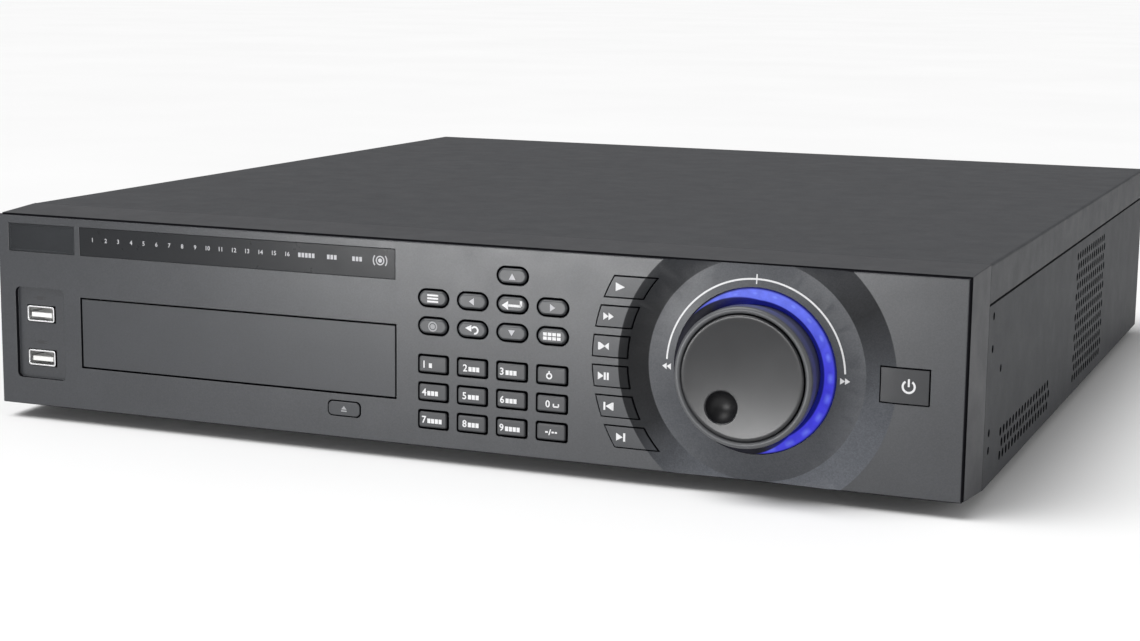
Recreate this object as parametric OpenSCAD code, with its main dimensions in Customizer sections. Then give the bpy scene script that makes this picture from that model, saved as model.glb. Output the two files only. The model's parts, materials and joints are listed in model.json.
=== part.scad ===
// Digital video recorder, 2U desktop case with keypad, jog and shuttle dial and disc drive.
// Millimetres, +Z up, front towards -Y. The origin is on the ground below the middle of the whole
// recorder. Modules are drawn from the front plate's face (y = 0) and the case's floor (z = 0),
// and in_frame() moves them into the part's frame.

/* [Case] */
// Width of the case
case_w = 440; // [438:1:446]
// Height of the case without its feet
case_h = 89; // [89:0.5:92]
// Depth from the front plate's face to the outside of the rear panel
case_d = 460; // [456:1:480]
// Thickness of the steel sheet
sheet_t = 1.2; // [1:0.1:1.4]
// Height of the rubber feet
foot_h = 5; // [4:0.5:8]
// Height of the lid's side lips
lid_lip_h = 15.7; // [14:0.1:17]
// Gap under the lid's lips
lid_gap = 0.8; // [0.5:0.1:1.2]

/* [Front] */
// Depth of the bezel frame, measured from the plate's face
bezel_d = 30; // [29:0.5:32]
// How much the bezel frame narrows towards its front on each side
bezel_draft = 1.7; // [1:0.1:2]
// Thickness of the plate's full-size rim
rim_t = 1.6; // [1.6:0.1:2]
// Width of the shadow groove between plate and bezel frame
groove_w = 2; // [1:0.1:2.4]
// Full thickness of the front plate
plate_t = 4.6; // [4.4:0.1:5]

/* [Dial] */
// Place of the dial's axis from the middle of the case
dial_x = 135.8; // [134:0.1:137]
// Height of the dial's axis above the case floor
dial_z = 45.5; // [45:0.1:46]
// How far the dial stands out of the plate
dial_out = 16; // [14:0.5:20]
// Radius of the inner jog disc
jog_r = 24.5; // [24:0.1:24.7]
// Outer radius of the shuttle ring
shuttle_r = 27.6; // [27.4:0.1:27.8]
// Outer radius of the lit ring
ring_r = 32.7; // [32:0.1:33]
// Inner radius of the lit ring
ring_in_r = 27.5; // [27.2:0.1:27.8]
// Radius of the valley between the raised ring and the outer band
valley_r = 44; // [42:0.5:46]
// Outer radius of the bowl around the dial
bowl_r = 56.3; // [55:0.1:57]
// Depth of the bowl at its valley
bowl_depth = 1.5; // [0.5:0.1:1.5]

/* [Keys] */
// Travel of every key
key_travel = 0.9; // [0.5:0.1:0.9]
// How far the pill and digit keys stand out of the plate
key_proud = 0.8; // [0.4:0.1:1]
// How far the transport, power and eject keys stand out of the plate
flat_key_proud = 0.35; // [0.2:0.05:0.5]
// Gap around the pill and digit keys
pad_gap = 0.8; // [0.45:0.05:0.9]
// Gap around the transport, power and eject keys
key_gap = 0.45; // [0.35:0.05:0.55]
// Place of the first key column
column_x = -2; // [-3:0.1:-1]
// Distance between key columns
column_pitch = 17.7; // [17.4:0.1:18]
// Distance between key rows
row_pitch = 11.65; // [11.4:0.05:11.8]
// Size of a pill key's hole
pill_size = [14.2, 7.8];
// Size of a digit key's hole
digit_size = [14.1, 8.2];
// Distance between transport keys
transport_pitch = 12.1; // [11.8:0.1:12.2]
// Height of a transport key's hole
transport_h = 9.1; // [8.8:0.1:9.2]

/* [Disc drive] */
// Size of the disc door
door_size = [154.8, 30.3];
// Middle of the disc door, from the middle of the case and its floor
door_at = [-97.2, 36.4];

/* [Hidden] */
$fn = 96;

// Depth behind the rear panel that the sockets reach, and the whole part's depth
rear_out = 14;
whole_d = dial_out + case_d + rear_out;
front_y = dial_out - whole_d / 2;

// Case outline at the front of the bezel frame
plate_w = case_w - 2 * bezel_draft;
plate_h = case_h - 2 * bezel_draft;
mid_z = case_h / 2;

// Sheet metal levels
lip_z = case_h - lid_lip_h;
shoulder_z = lip_z - lid_gap;
inner_x = case_w / 2 - sheet_t;
flange_x = inner_x - 0.2;
rear_y = case_d - sheet_t;

// Key places
pill_top_z = 76;
digit_top_z = 36.7;
transport_in_r = 52.3;
transport_out_r = 67.6;
power_at = [195.1, 44.8];
power_size = [19.6, 14.2];
eject_at = [-43.7, 14.3];
eject_size = [15.7, 6.8];
eject_stem_at = [-43.7, 12.4];

// Keypad levels behind the plate
flange_y = plate_t + 0.1;
flange_t = 1;
flange_lap = 0.9;
board_y = 12;
board_t = 1.6;
switch_h = 1.25;
stem_end_y = board_y - switch_h - key_travel - 0.1;

// Panel features
badge_at = [-195.1, 77.25];
badge_size = [34.6, 12.4];
window_at = [-97.2, 77.25];
window_size = [155, 12.5];
window_t = 1.5;
usb_recess_at = [-196.9, 34.45];
usb_recess_size = [25.8, 41.1];
usb_recess_depth = 2;
usb_x = -197.5;
usb_z = [43.1, 23.2];
usb_shell = [14.2, 7];
boss_at = [[-14, 8], [-14, 80], [63.3, 8], [63.3, 80], [210, 8], [210, 80], [-165, 64], [-40, 64]];
corner_x = 211;
screw_r = 1.4;
screw_hole_r = 1.45;
screw_head_r = 2.8;
screw_head_h = 1.8;
lid_screw_x = [-200, -75, 37, 150];
lid_screw_z = case_h - 6;
corner_z = 8;

// Rear panel features
bnc_x = [-205, -188, -171, -154, -137, -120, -103, -86, -64];
bnc_z = [70, 52];
bnc_hole_r = 6.4;
rca_x = -44;
rca_r = 4.1;
port_z = 10.6;
lan_box = [-112, 16, 13.4];
hdmi_box = [-90, 15, 6];
rear_usb_box = [-70.5, 14.4, 7];
vga_box = [-43, 31, 12.4];
terminal_box = [-167, 76, 10];
fan_at = [[4, 44.5], [70, 44.5]];
fan_size = 60;
fan_hole_pitch = 50;
fan_bore_r = 28.4;
fan_t = 20;
inlet_at = [201, 26];
inlet_cut = [20.4, 28.4];
rocker_at = [201, 60];
rocker_cut = [13, 19.4];
rocker_tilt = 10;
rocker_axis_y = case_d - 1;
psu_box = [[108, 328, 2.4], [184, 456, 66]];
psu_vent_at = [146, 34];

// Boards and drives
main_z = 9;
main_x = [-212, -30];
main_y = [262, 452];
standoff_at = [[-206, 268], [-36, 268], [-206, 430], [-24, 430]];
hdd_size = [101.6, 147, 26.1];
hdd_x = [47, 157];
hdd_y = 62;
hdd_z = [8, 37];
cage_screw_at = [for (x = hdd_x, side = [-30, 30], y = [82, 190]) [x + side, y]];
drive_size = [146, 168, 41.3];
drive_y = 8;
drive_z = door_at[1] - drive_size[2] / 2;

// Side features: rack ear holes as [y, z], then vent fields as [y, z, columns, rows]
ear_holes = [[39, 14.2], [39, 21.3], [39, 54.7], [39, 67.6], [57.5, 44]];
ear_hole_r = 1.6;
vent_pitch = 6.7;
vent_row = 4.9;
vent_r = 1.9;
low_vent = [63, 7.3, 17, 3];
high_vent = [240, 7.3, 13, 13];

// ---------- Helpers ----------

module in_frame() {
    translate([0, front_y, foot_h]) children();
}

// Extrudes an outline drawn in X and Z from y0 back to y1
module along_y(y0, y1) {
    translate([0, y1, 0]) rotate([90, 0, 0]) linear_extrude(y1 - y0) children();
}

// Extrudes an outline drawn in Y and Z from x0 to x1
module along_x(x0, x1) {
    translate([x0, 0, 0]) rotate([90, 0, 90]) linear_extrude(x1 - x0) children();
}

module box(low, high) {
    translate(low) cube(high - low);
}

// A box between two depths, centred on a place in X and Z
module panel_box(at, size, y0, y1) {
    along_y(y0, y1) translate(at) square(size, center = true);
}

// A rod along Y between two depths
module rod_y(at, r, y0, y1) {
    along_y(y0, y1) translate(at) circle(r);
}

module rounded_outline(size, r) {
    square([size[0] - 2 * r, size[1]], center = true);
    square([size[0], size[1] - 2 * r], center = true);
    for (sx = [-1, 1], sz = [-1, 1])
        translate([sx * (size[0] / 2 - r), sz * (size[1] / 2 - r)]) circle(r);
}

// A slab whose four sides lean outwards by draft between two depths
module drafted_slab(size0, size1, y0, y1) {
    intersection() {
        linear_extrude(2 * case_h)
            polygon([
                [-size0[0] / 2, y0], [size0[0] / 2, y0],
                [size1[0] / 2, y1], [-size1[0] / 2, y1]
            ]);
        along_x(-case_w, case_w)
            polygon([
                [y0, mid_z - size0[1] / 2], [y1, mid_z - size1[1] / 2],
                [y1, mid_z + size1[1] / 2], [y0, mid_z + size0[1] / 2]
            ]);
    }
}

// Size of the bezel's outline at a depth
function bezel_at(y) = [
    plate_w + 2 * bezel_draft * y / bezel_d,
    plate_h + 2 * bezel_draft * y / bezel_d
];

// The shallow bowl around the dial, cut from whatever stands at that level
module bowl_cut(level) {
    lead = 3;
    translate([dial_x, level, dial_z]) rotate([90, 0, 0]) rotate_extrude()
        polygon([[ring_r, 0], [valley_r, -bowl_depth], [bowl_r, 0], [bowl_r, lead], [ring_r, lead]]);
}

// A staggered field of round holes, as an outline
module vent_holes(field) {
    for (row = [0 : field[3] - 1], column = [0 : field[2] - 1])
        translate([
            field[0] + (column + (row % 2) / 2) * vent_pitch,
            field[1] + row * vent_row
        ]) circle(vent_r, $fn = 24);
}

// A disc-shaped field of holes for a fan or a vent
module grille_holes(radius) {
    pitch = 6;
    reach = ceil(radius / pitch) + 1;
    for (row = [-reach : reach], column = [-reach : reach]) {
        place = [(column + (abs(row) % 2) / 2) * pitch, row * pitch * sin(60)];
        if (norm(place) <= radius) translate(place) circle(2.3, $fn = 24);
    }
}

// ---------- Case ----------

module side_wall() {
    along_x(inner_x, case_w / 2) difference() {
        translate([bezel_d, 0]) square([case_d - bezel_d, shoulder_z]);
        vent_holes(low_vent);
        vent_holes(high_vent);
        for (hole = ear_holes)
            translate(hole) circle(ear_hole_r, $fn = 32);
    }
    // The joggle that carries the lid's lip
    box([flange_x - sheet_t, bezel_d, shoulder_z - sheet_t], [case_w / 2, case_d, shoulder_z]);
    box([flange_x - sheet_t, bezel_d, shoulder_z], [flange_x, case_d, case_h - sheet_t - 0.2]);
}

module front_wall() {
    along_y(bezel_d, bezel_d + sheet_t) difference() {
        translate([-inner_x, 0]) square([2 * inner_x, shoulder_z]);
        translate(door_at) square([drive_size[0] + 3, drive_size[2] + 3], center = true);
        translate([usb_x, 34]) square([24, 36], center = true);
        translate([30, 30]) square([44, 24], center = true);
        for (sx = [-1, 1])
            translate([sx * corner_x, corner_z]) circle(1.6, $fn = 32);
    }
}

module port_cut(port, grow) {
    translate([port[0], port_z + port[2] / 2]) square([port[1] + grow, port[2] + grow], center = true);
}

module rear_wall() {
    fan_hole = fan_hole_pitch / 2;
    along_y(rear_y, case_d) difference() {
        translate([-inner_x, 0]) square([2 * inner_x, case_h - sheet_t - 0.2]);
        for (x = bnc_x, z = bnc_z)
            translate([x, z]) circle(bnc_hole_r);
        for (z = bnc_z)
            translate([rca_x, z]) circle(5.2);
        for (port = [lan_box, hdmi_box, rear_usb_box, vga_box, terminal_box])
            port_cut(port, 0.8);
        for (at = fan_at)
            translate(at) {
                grille_holes(25);
                for (sx = [-1, 1], sz = [-1, 1])
                    translate([sx * fan_hole, sz * fan_hole]) circle(2.1, $fn = 32);
            }
        translate(psu_vent_at) grille_holes(24);
        translate(inlet_at) square(inlet_cut, center = true);
        translate(rocker_at) square(rocker_cut, center = true);
        for (x = lid_screw_x)
            translate([x, lid_screw_z]) circle(screw_hole_r, $fn = 32);
    }
}

module chassis_base() {
    color("#4b4d50") in_frame() {
        difference() {
            box([-inner_x, bezel_d, 0], [inner_x, case_d, sheet_t]);
            for (at = cage_screw_at)
                translate([at[0], at[1], -1]) cylinder(h = 4, r = screw_hole_r);
        }
        side_wall();
        mirror([1, 0, 0]) side_wall();
        front_wall();
        rear_wall();
        for (at = standoff_at)
            translate([at[0], at[1], 0]) difference() {
                cylinder(h = main_z, r = 3);
                translate([0, 0, sheet_t]) cylinder(h = main_z, r = screw_hole_r);
            }
    }
}

module top_cover() {
    rear_lip_h = 11;
    lid_y = case_d + sheet_t;
    color("#505254") in_frame() {
        difference() {
            union() {
                box([-case_w / 2, bezel_d, case_h - sheet_t], [case_w / 2, lid_y, case_h]);
                for (side = [0, 1])
                    mirror([side, 0, 0])
                        box([inner_x, bezel_d, lip_z], [case_w / 2, lid_y, case_h]);
                box([-case_w / 2, case_d, case_h - rear_lip_h], [case_w / 2, lid_y, case_h]);
            }
            for (x = lid_screw_x)
                rod_y([x, lid_screw_z], 1.7, case_d - 1, lid_y + 1);
        }
    }
}

module bezel_frame() {
    front = rim_t + groove_w;
    wall = 2.4;
    ledge = 3;
    corner = 10;
    color("#66676a") in_frame() {
        difference() {
            drafted_slab(bezel_at(front), bezel_at(bezel_d), front, bezel_d);
            // The plate's body goes in as far as the ledge
            panel_box([0, mid_z], [plate_w - 2.2, plate_h - 2.2], front - 1, plate_t);
            panel_box([0, mid_z], [plate_w - 2 * ledge, plate_h - 2 * ledge],
                plate_t - 1, plate_t + 2);
            panel_box([0, mid_z], [plate_w - 2 * wall, plate_h - 2 * wall],
                plate_t + 1.9, bezel_d + 1);
        }
        for (sx = [-1, 1])
            difference() {
                panel_box([sx * (plate_w / 2 - wall - corner / 2 + 0.4), corner_z],
                    [corner, corner], bezel_d - 10, bezel_d);
                rod_y([sx * corner_x, corner_z], screw_hole_r, bezel_d - 9, bezel_d + 1);
            }
    }
}

// ---------- Front plate and what stands in it ----------

function pill_at(column, row) = [column_x + column * column_pitch, pill_top_z - row * row_pitch];
function digit_at(column, row) = [column_x + column * column_pitch, digit_top_z - row * row_pitch];
function transport_z(index) = mid_z + (2.5 - index) * transport_pitch;

pill_places = [[2, 0], [0, 1], [1, 1], [2, 1], [3, 1], [0, 2], [1, 2], [2, 2], [3, 2]];

module pill_outline(inset) {
    size = [pill_size[0] - 2 * inset, pill_size[1] - 2 * inset];
    square([size[0] - size[1], size[1]], center = true);
    for (s = [-1, 1])
        translate([s * (size[0] - size[1]) / 2, 0]) circle(size[1] / 2);
}

module digit_outline(inset) {
    rounded_outline([digit_size[0] - 2 * inset, digit_size[1] - 2 * inset], 1.2 - inset / 3);
}

module power_outline(inset) {
    square([power_size[0] - 2 * inset, power_size[1] - 2 * inset], center = true);
}

module eject_outline(inset) {
    rounded_outline([eject_size[0] - 2 * inset, eject_size[1] - 2 * inset], 2.2 - inset / 3);
}

// One transport key: a strip of the ring sector to the left of the dial
module transport_outline(index, inset) {
    height = transport_h - 2 * inset;
    translate([dial_x, 0]) intersection() {
        translate([0, dial_z]) difference() {
            circle(transport_out_r - inset, $fn = 180);
            circle(transport_in_r + inset, $fn = 180);
        }
        translate([-80, transport_z(index) - height / 2]) square([80, height]);
    }
}

module plate_key_holes() {
    for (place = pill_places)
        translate(pill_at(place[0], place[1])) pill_outline(0);
    for (column = [0 : 3], row = [0 : 2])
        translate(digit_at(column, row)) digit_outline(0);
    for (index = [0 : 5])
        transport_outline(index, 0);
    translate(power_at) power_outline(0);
    translate(eject_at) eject_outline(0);
}

module front_plate() {
    edge = 0.5;
    door_gap = 0.7;
    through = [-1, plate_t + 1];
    color("#707276") in_frame() difference() {
        union() {
            drafted_slab([plate_w - 2 * edge, plate_h - 2 * edge], [plate_w, plate_h], 0, edge);
            panel_box([0, mid_z], [plate_w, plate_h], edge, rim_t);
            panel_box([0, mid_z], [plate_w - 2.8, plate_h - 2.8], rim_t, plate_t);
            for (at = boss_at)
                rod_y(at, 3, plate_t, board_y);
        }
        bowl_cut(0);
        rod_y([dial_x, dial_z], ring_r + 0.2, through[0], through[1]);
        along_y(through[0], through[1]) plate_key_holes();
        along_y(through[0], through[1])
            translate(door_at)
                square([door_size[0] + 2 * door_gap, door_size[1] + 2 * door_gap], center = true);
        panel_box(badge_at, [badge_size[0] + 0.2, badge_size[1] + 0.2], -1, 1.2);
        panel_box(window_at, [window_size[0] + 0.2, window_size[1] + 0.2], -1, window_t + 0.1);
        panel_box(window_at, [window_size[0] - 4, window_size[1] - 4], 0, plate_t + 1);
        along_y(-1, usb_recess_depth) translate(usb_recess_at) rounded_outline(usb_recess_size, 2.4);
        for (z = usb_z)
            panel_box([usb_x, z], [usb_shell[0] + 0.8, usb_shell[1] + 0.6], 1, plate_t + 1);
        for (at = boss_at)
            rod_y(at, screw_hole_r, plate_t + 0.6, board_y + 1);
    }
}

module indicator_window() {
    color("#3c3d42") in_frame() panel_box(window_at, window_size, 0.1, window_t + 0.1);
}

module badge_plate() {
    rim = 0.8;
    color("#4a4b50") in_frame() difference() {
        panel_box(badge_at, badge_size, 0.1, 1.2);
        panel_box(badge_at, [badge_size[0] - 2 * rim, badge_size[1] - 2 * rim], 0, 0.4);
    }
}

// A socket shell with cut corners, its cavity and its tongue
module usb_shell_solid(z) {
    wall = 0.6;
    depth = 13;
    front = usb_recess_depth - 0.6;
    tongue = [10.8, 2];
    difference() {
        along_y(front, front + depth) translate([usb_x, z]) rounded_outline(usb_shell, 1);
        along_y(front - 1, front + depth - 1) translate([usb_x, z])
            rounded_outline([usb_shell[0] - 2 * wall, usb_shell[1] - 2 * wall], 0.5);
    }
    panel_box([usb_x, z - 0.5], tongue, front + 0.8, front + depth - 0.5);
}

module usb_sockets() {
    color("#c9cbce") in_frame() for (z = usb_z)
        usb_shell_solid(z);
}

// ---------- Dial ----------

module dial_turned() {
    translate([dial_x, 0, dial_z]) rotate([90, 0, 0]) rotate_extrude() children();
}

module light_ring() {
    collar = 1.1;
    back = 4.4;
    disc_front = 2.6;
    hub = 8;
    color("#3a35d5") in_frame() dial_turned() {
        translate([ring_in_r, -back]) square([ring_r - ring_in_r, back + 0.2]);
        // The rounded crown
        translate([(ring_r + ring_in_r) / 2, 0.2]) intersection() {
            circle((ring_r - ring_in_r) / 2, $fn = 64);
            translate([-ring_r, 0]) square([2 * ring_r, collar]);
        }
        translate([hub, -back]) square([ring_in_r - hub + 0.5, back - disc_front]);
    }
    // Three posts hold it off the board
    color("#3a35d5") in_frame() for (angle = [30, 150, 270])
        rod_y([dial_x + 20 * cos(angle), dial_z + 20 * sin(angle)], 2, back - 1, board_y);
}

module shuttle_ring() {
    wall = shuttle_r - jog_r - 0.35;
    front = dial_out - 0.4;
    back = 1.9;
    web = [3, 5];
    hub = 5.4;
    // The grip is a thick lip, and the ring is thinner behind it
    lip_d = 6.5;
    step_in = 1.6;
    color("#5d5f62") in_frame() dial_turned() {
        translate([shuttle_r - wall, -back]) square([wall - step_in, back + front - wall / 2]);
        translate([shuttle_r - wall, front - lip_d]) square([wall, lip_d - wall / 2]);
        translate([shuttle_r - wall / 2, front - wall / 2]) circle(wall / 2, $fn = 48);
        translate([hub, web[0]]) square([shuttle_r - wall + 0.3 - hub, web[1] - web[0]]);
    }
}

module jog_disc() {
    dish = 1.3;
    edge = 0.6;
    back = 6;
    shaft_r = 3;
    shaft_back = 6;
    dish_r = jog_r - 1.2;
    // The finger dimple's middle, the ball that makes it and how far its middle stands out
    dimple = [-8, -12];
    ball_r = 6.6;
    ball_out = 0.9;
    // Radius of the ball whose cap makes the dish
    dish_ball = (dish_r * dish_r + dish * dish) / (2 * dish);
    color("#6c6e71") in_frame() difference() {
        union() {
            dial_turned() {
                translate([0, back]) square([jog_r, dial_out - edge - back]);
                translate([0, dial_out - edge - 0.01]) square([jog_r - edge, edge + 0.01]);
                translate([jog_r - edge, dial_out - edge]) intersection() {
                    circle(edge, $fn = 48);
                    square(edge);
                }
                translate([0, -shaft_back]) square([shaft_r, back + shaft_back + 1]);
            }
        }
        translate([dial_x, -dial_out - dish_ball + dish, dial_z]) sphere(dish_ball, $fn = 200);
        translate([dial_x + dimple[0], -dial_out - ball_out, dial_z + dimple[1]])
            sphere(ball_r, $fn = 64);
    }
}

module jog_encoder() {
    body = 20;
    collar_r = 5.1;
    bore_r = 3.05;
    body_front = 5;
    color("#b9b38f") in_frame() difference() {
        union() {
            panel_box([dial_x, dial_z], [body, body], body_front, board_y);
            rod_y([dial_x, dial_z], collar_r, -5.6, board_y);
        }
        rod_y([dial_x, dial_z], bore_r, -7, 6.5);
    }
}

// ---------- Keys ----------

// A key: its cap through the plate, the flange behind the plate and the stem over its switch
module key_body(proud, stem_at) {
    along_y(-proud, flange_y + flange_t) children(0);
    along_y(flange_y, flange_y + flange_t) children(1);
    rod_y(stem_at, 1.6, flange_y, stem_end_y);
}

module pill_key(column, row) {
    at = pill_at(column, row);
    color("#7d7f83") in_frame() key_body(key_proud, at) {
        translate(at) pill_outline(pad_gap);
        translate(at) pill_outline(-flange_lap);
    }
}

module digit_key(column, row) {
    at = digit_at(column, row);
    color("#6a6c70") in_frame() key_body(key_proud, at) {
        translate(at) digit_outline(pad_gap);
        translate(at)
            square([digit_size[0] + 2 * flange_lap, digit_size[1] + 2 * flange_lap], center = true);
    }
}

function transport_stem_x(index) =
    dial_x - sqrt(pow((transport_in_r + transport_out_r) / 2, 2) - pow(transport_z(index) - dial_z, 2));

module transport_key(index) {
    color("#66686c") in_frame() difference() {
        key_body(flat_key_proud, [transport_stem_x(index), transport_z(index)]) {
            transport_outline(index, key_gap);
            transport_outline(index, -flange_lap);
        }
        bowl_cut(-flat_key_proud);
    }
}

module power_key() {
    color("#606265") in_frame() difference() {
        key_body(flat_key_proud, power_at) {
            translate(power_at) power_outline(key_gap);
            translate(power_at) power_outline(-flange_lap);
        }
        bowl_cut(-flat_key_proud);
    }
}

module eject_key() {
    color("#606265") in_frame() key_body(flat_key_proud, eject_stem_at) {
        translate(eject_at) eject_outline(key_gap);
        translate(eject_at) square([eject_size[0] + 1, eject_size[1] + 1], center = true);
    }
}

// ---------- Boards ----------

module tact_switch(at) {
    panel_box(at, [4.5, 4.5], board_y - switch_h, board_y);
}

module front_board() {
    led_count = 16;
    led_pitch = 6.5;
    led_x = -167.7;
    status_leds = [-61.2, -49.2, -37.3];
    ring_leds = 12;
    usb_board_y = 14.4;
    color("#2f6b3a") in_frame() {
        along_y(board_y, board_y + board_t) difference() {
            union() {
                translate([-60, 5]) square([274, 79]);
                translate([-178, 60]) square([120, 24]);
            }
            // The disc drive stands in this corner
            translate([-61, 15.2]) square([41.4, 43.8]);
            for (at = boss_at)
                translate(at) circle(1.6, $fn = 32);
        }
        panel_box([usb_x, 34], [30, 46], usb_board_y, usb_board_y + board_t);
        for (place = pill_places)
            tact_switch(pill_at(place[0], place[1]));
        for (column = [0 : 3], row = [0 : 2])
            tact_switch(digit_at(column, row));
        for (index = [0 : 5])
            tact_switch([transport_stem_x(index), transport_z(index)]);
        tact_switch(power_at);
        tact_switch(eject_stem_at);
        for (x = concat([for (i = [0 : led_count - 1]) led_x + i * led_pitch], status_leds))
            panel_box([x, window_at[1]], [2, 1.25], board_y - 0.9, board_y);
        for (i = [0 : ring_leds - 1])
            translate([dial_x, 0, dial_z]) rotate([0, i * 360 / ring_leds, 0])
                translate([(ring_in_r + ring_r) / 2, 0, 0])
                    panel_box([0, 0], [2, 2], board_y - 1, board_y + 0.2);
    }
}

module main_board() {
    top = main_z + board_t;
    color("#1f5a34") in_frame() {
        difference() {
            box([main_x[0], main_y[0], main_z], [main_x[1] + 12, main_y[1], top]);
            for (at = standoff_at)
                translate([at[0], at[1], main_z - 1]) cylinder(h = board_t + 2, r = 1.7);
        }
        // Processor, memory and video chips
        box([-140, 318, top], [-100, 358, top + 3]);
        for (i = [0 : 3])
            box([-92 + i * 14, 322, top], [-82 + i * 14, 336, top + 1.2]);
        for (i = [0 : 7])
            box([-204 + i * 17, 404, top], [-194 + i * 17, 414, top + 1.4]);
        // Capacitors
        for (i = [0 : 4])
            translate([-196, 286 + i * 14, top]) cylinder(h = 12, r = 4);
        // Drive and power connectors
        for (i = [0 : 3])
            box([-98 + i * 16, 268, top], [-90 + i * 16, 284, top + 9]);
        box([-150, 268, top], [-110, 276, top + 11]);
    }
}

module heatsink() {
    base_z = main_z + board_t + 3;
    size = 56;
    fins = 11;
    fin_t = 1.6;
    color("#9a9ca0") in_frame() translate([-120 - size / 2, 338 - size / 2, base_z]) {
        cube([size, size, 4]);
        for (i = [0 : fins - 1])
            translate([i * (size - fin_t) / (fins - 1), 0, 3]) cube([fin_t, size, 18]);
    }
}

// ---------- Drives ----------

module drive_cage() {
    side = 0.4;
    color("#a7a9ac") in_frame() {
        for (x = hdd_x)
            difference() {
                box([x - hdd_size[0] / 2 - side - sheet_t, hdd_y - 6, sheet_t],
                    [x + hdd_size[0] / 2 + side + sheet_t, hdd_y + hdd_size[1] + 6, 66]);
                box([x - hdd_size[0] / 2 - side, hdd_y - 7, 2 * sheet_t],
                    [x + hdd_size[0] / 2 + side, hdd_y + hdd_size[1] + 7, 67]);
                for (y = [hdd_y + 30, hdd_y + 117], z = hdd_z)
                    along_x(x - hdd_size[0], x + hdd_size[0])
                        translate([y, z + 6.3]) circle(1.7, $fn = 32);
                for (at = cage_screw_at)
                    translate([at[0], at[1], 0]) cylinder(h = 3 * sheet_t, r = screw_hole_r);
            }
        // The bracket under the disc drive
        bracket_w = drive_size[0] - 8;
        for (y = [50, 150])
            difference() {
                panel_box([door_at[0], (drive_z + sheet_t) / 2], [bracket_w, drive_z - sheet_t],
                    y, y + 14);
                panel_box([door_at[0], (drive_z - sheet_t) / 2],
                    [bracket_w - 2 * sheet_t, drive_z - sheet_t], y - 1, y + 15);
            }
    }
}

module hard_drives() {
    lid = 1.2;
    color("#8d8f92") in_frame() for (x = hdd_x, z = hdd_z) {
        box([x - hdd_size[0] / 2, hdd_y, z],
            [x + hdd_size[0] / 2, hdd_y + hdd_size[1], z + hdd_size[2] - lid]);
        box([x - 47, hdd_y + 3, z + hdd_size[2] - lid], [x + 47, hdd_y + 128, z + hdd_size[2]]);
    }
}

module optical_drive() {
    wall = 2;
    slot_z = [19, 42];
    color("#9b9da0") in_frame() difference() {
        box([door_at[0] - drive_size[0] / 2, drive_y, drive_z],
            [door_at[0] + drive_size[0] / 2, drive_y + drive_size[1], drive_z + drive_size[2]]);
        box([door_at[0] - drive_size[0] / 2 + wall, drive_y - 1, slot_z[0]],
            [door_at[0] + drive_size[0] / 2 - wall, drive_y + drive_size[1] - wall, slot_z[1]]);
    }
}

module disc_tray() {
    width = 134;
    floor_z = 21;
    top_z = 29;
    back_y = 168;
    front_wall = [140, 20];
    disc_y = 72;
    color("#3a3b3e") in_frame() difference() {
        union() {
            box([door_at[0] - width / 2, 5, floor_z], [door_at[0] + width / 2, back_y, top_z]);
            panel_box([door_at[0], 31], front_wall, 3, 6);
        }
        translate([door_at[0], disc_y, top_z - 2.4]) cylinder(h = 10, r = 60.6);
        translate([door_at[0], disc_y, top_z - 4.2]) cylinder(h = 10, r = 40.5);
        // The slot that the spindle and the laser reach through
        box([door_at[0] - 19, disc_y - 16, floor_z - 1], [door_at[0] + 19, back_y - 16, top_z + 10]);
    }
}

module tray_door() {
    color("#5b5d60") in_frame() panel_box(door_at, door_size, 0.3, 3);
}

// ---------- Rear ----------

module power_supply() {
    low = psu_box[0];
    high = psu_box[1];
    color("#b5b7ba") in_frame() difference() {
        box(low, high);
        box([low[0] + 1, low[1] + 1, low[2] + 1], [high[0] - 1, high[1] - 1, high[2] - 1]);
        rod_y(psu_vent_at, 24, high[1] - 2, high[1] + 1);
        for (i = [0 : 9])
            box([low[0] - 1, low[1] + 14 + i * 8, 16], [low[0] + 2, low[1] + 18 + i * 8, 52]);
    }
}

module mains_inlet() {
    flange = [23.6, 32];
    cavity = [16, 24];
    out_y = case_d + 2.2;
    deep_y = case_d - 13;
    color("#1c1c1e") in_frame() {
        difference() {
            union() {
                along_y(case_d, out_y) translate(inlet_at) rounded_outline(flange, 3);
                panel_box(inlet_at, [inlet_cut[0] - 0.4, inlet_cut[1] - 0.4], deep_y - 3, case_d);
            }
            along_y(deep_y, out_y + 1) translate(inlet_at) rounded_outline(cavity, 1.5);
        }
        // The three contact blades
        for (pin = [[2, -7], [2, 7], [-2, 0]])
            panel_box([inlet_at[0] + pin[0], inlet_at[1] + pin[1]], [4, 2], deep_y - 6, case_d - 1);
    }
}

module switch_housing() {
    flange = [15, 21.4];
    inside = [10.4, 16.8];
    color("#1c1c1e") in_frame() difference() {
        union() {
            panel_box(rocker_at, flange, case_d, case_d + 1.4);
            panel_box(rocker_at, [rocker_cut[0] - 0.4, rocker_cut[1] - 0.4], case_d - 12, case_d);
        }
        panel_box(rocker_at, inside, case_d - 8.5, case_d + 3);
    }
}

// The rocker: a round-backed lever that lies over to one side at rest
module mains_rocker() {
    width = 9.6;
    radius = 7.6;
    back = 2;
    notch_r = 26;
    color("#2a2a2c") in_frame()
        translate([rocker_at[0] - width / 2, rocker_axis_y, rocker_at[1]])
            rotate([rocker_tilt, 0, 0]) rotate([90, 0, 90]) linear_extrude(width) difference() {
                circle(radius);
                translate([-radius - back, -radius]) square([radius, 2 * radius]);
                translate([notch_r + 3.2, 0]) circle(notch_r, $fn = 180);
            }
}

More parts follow.
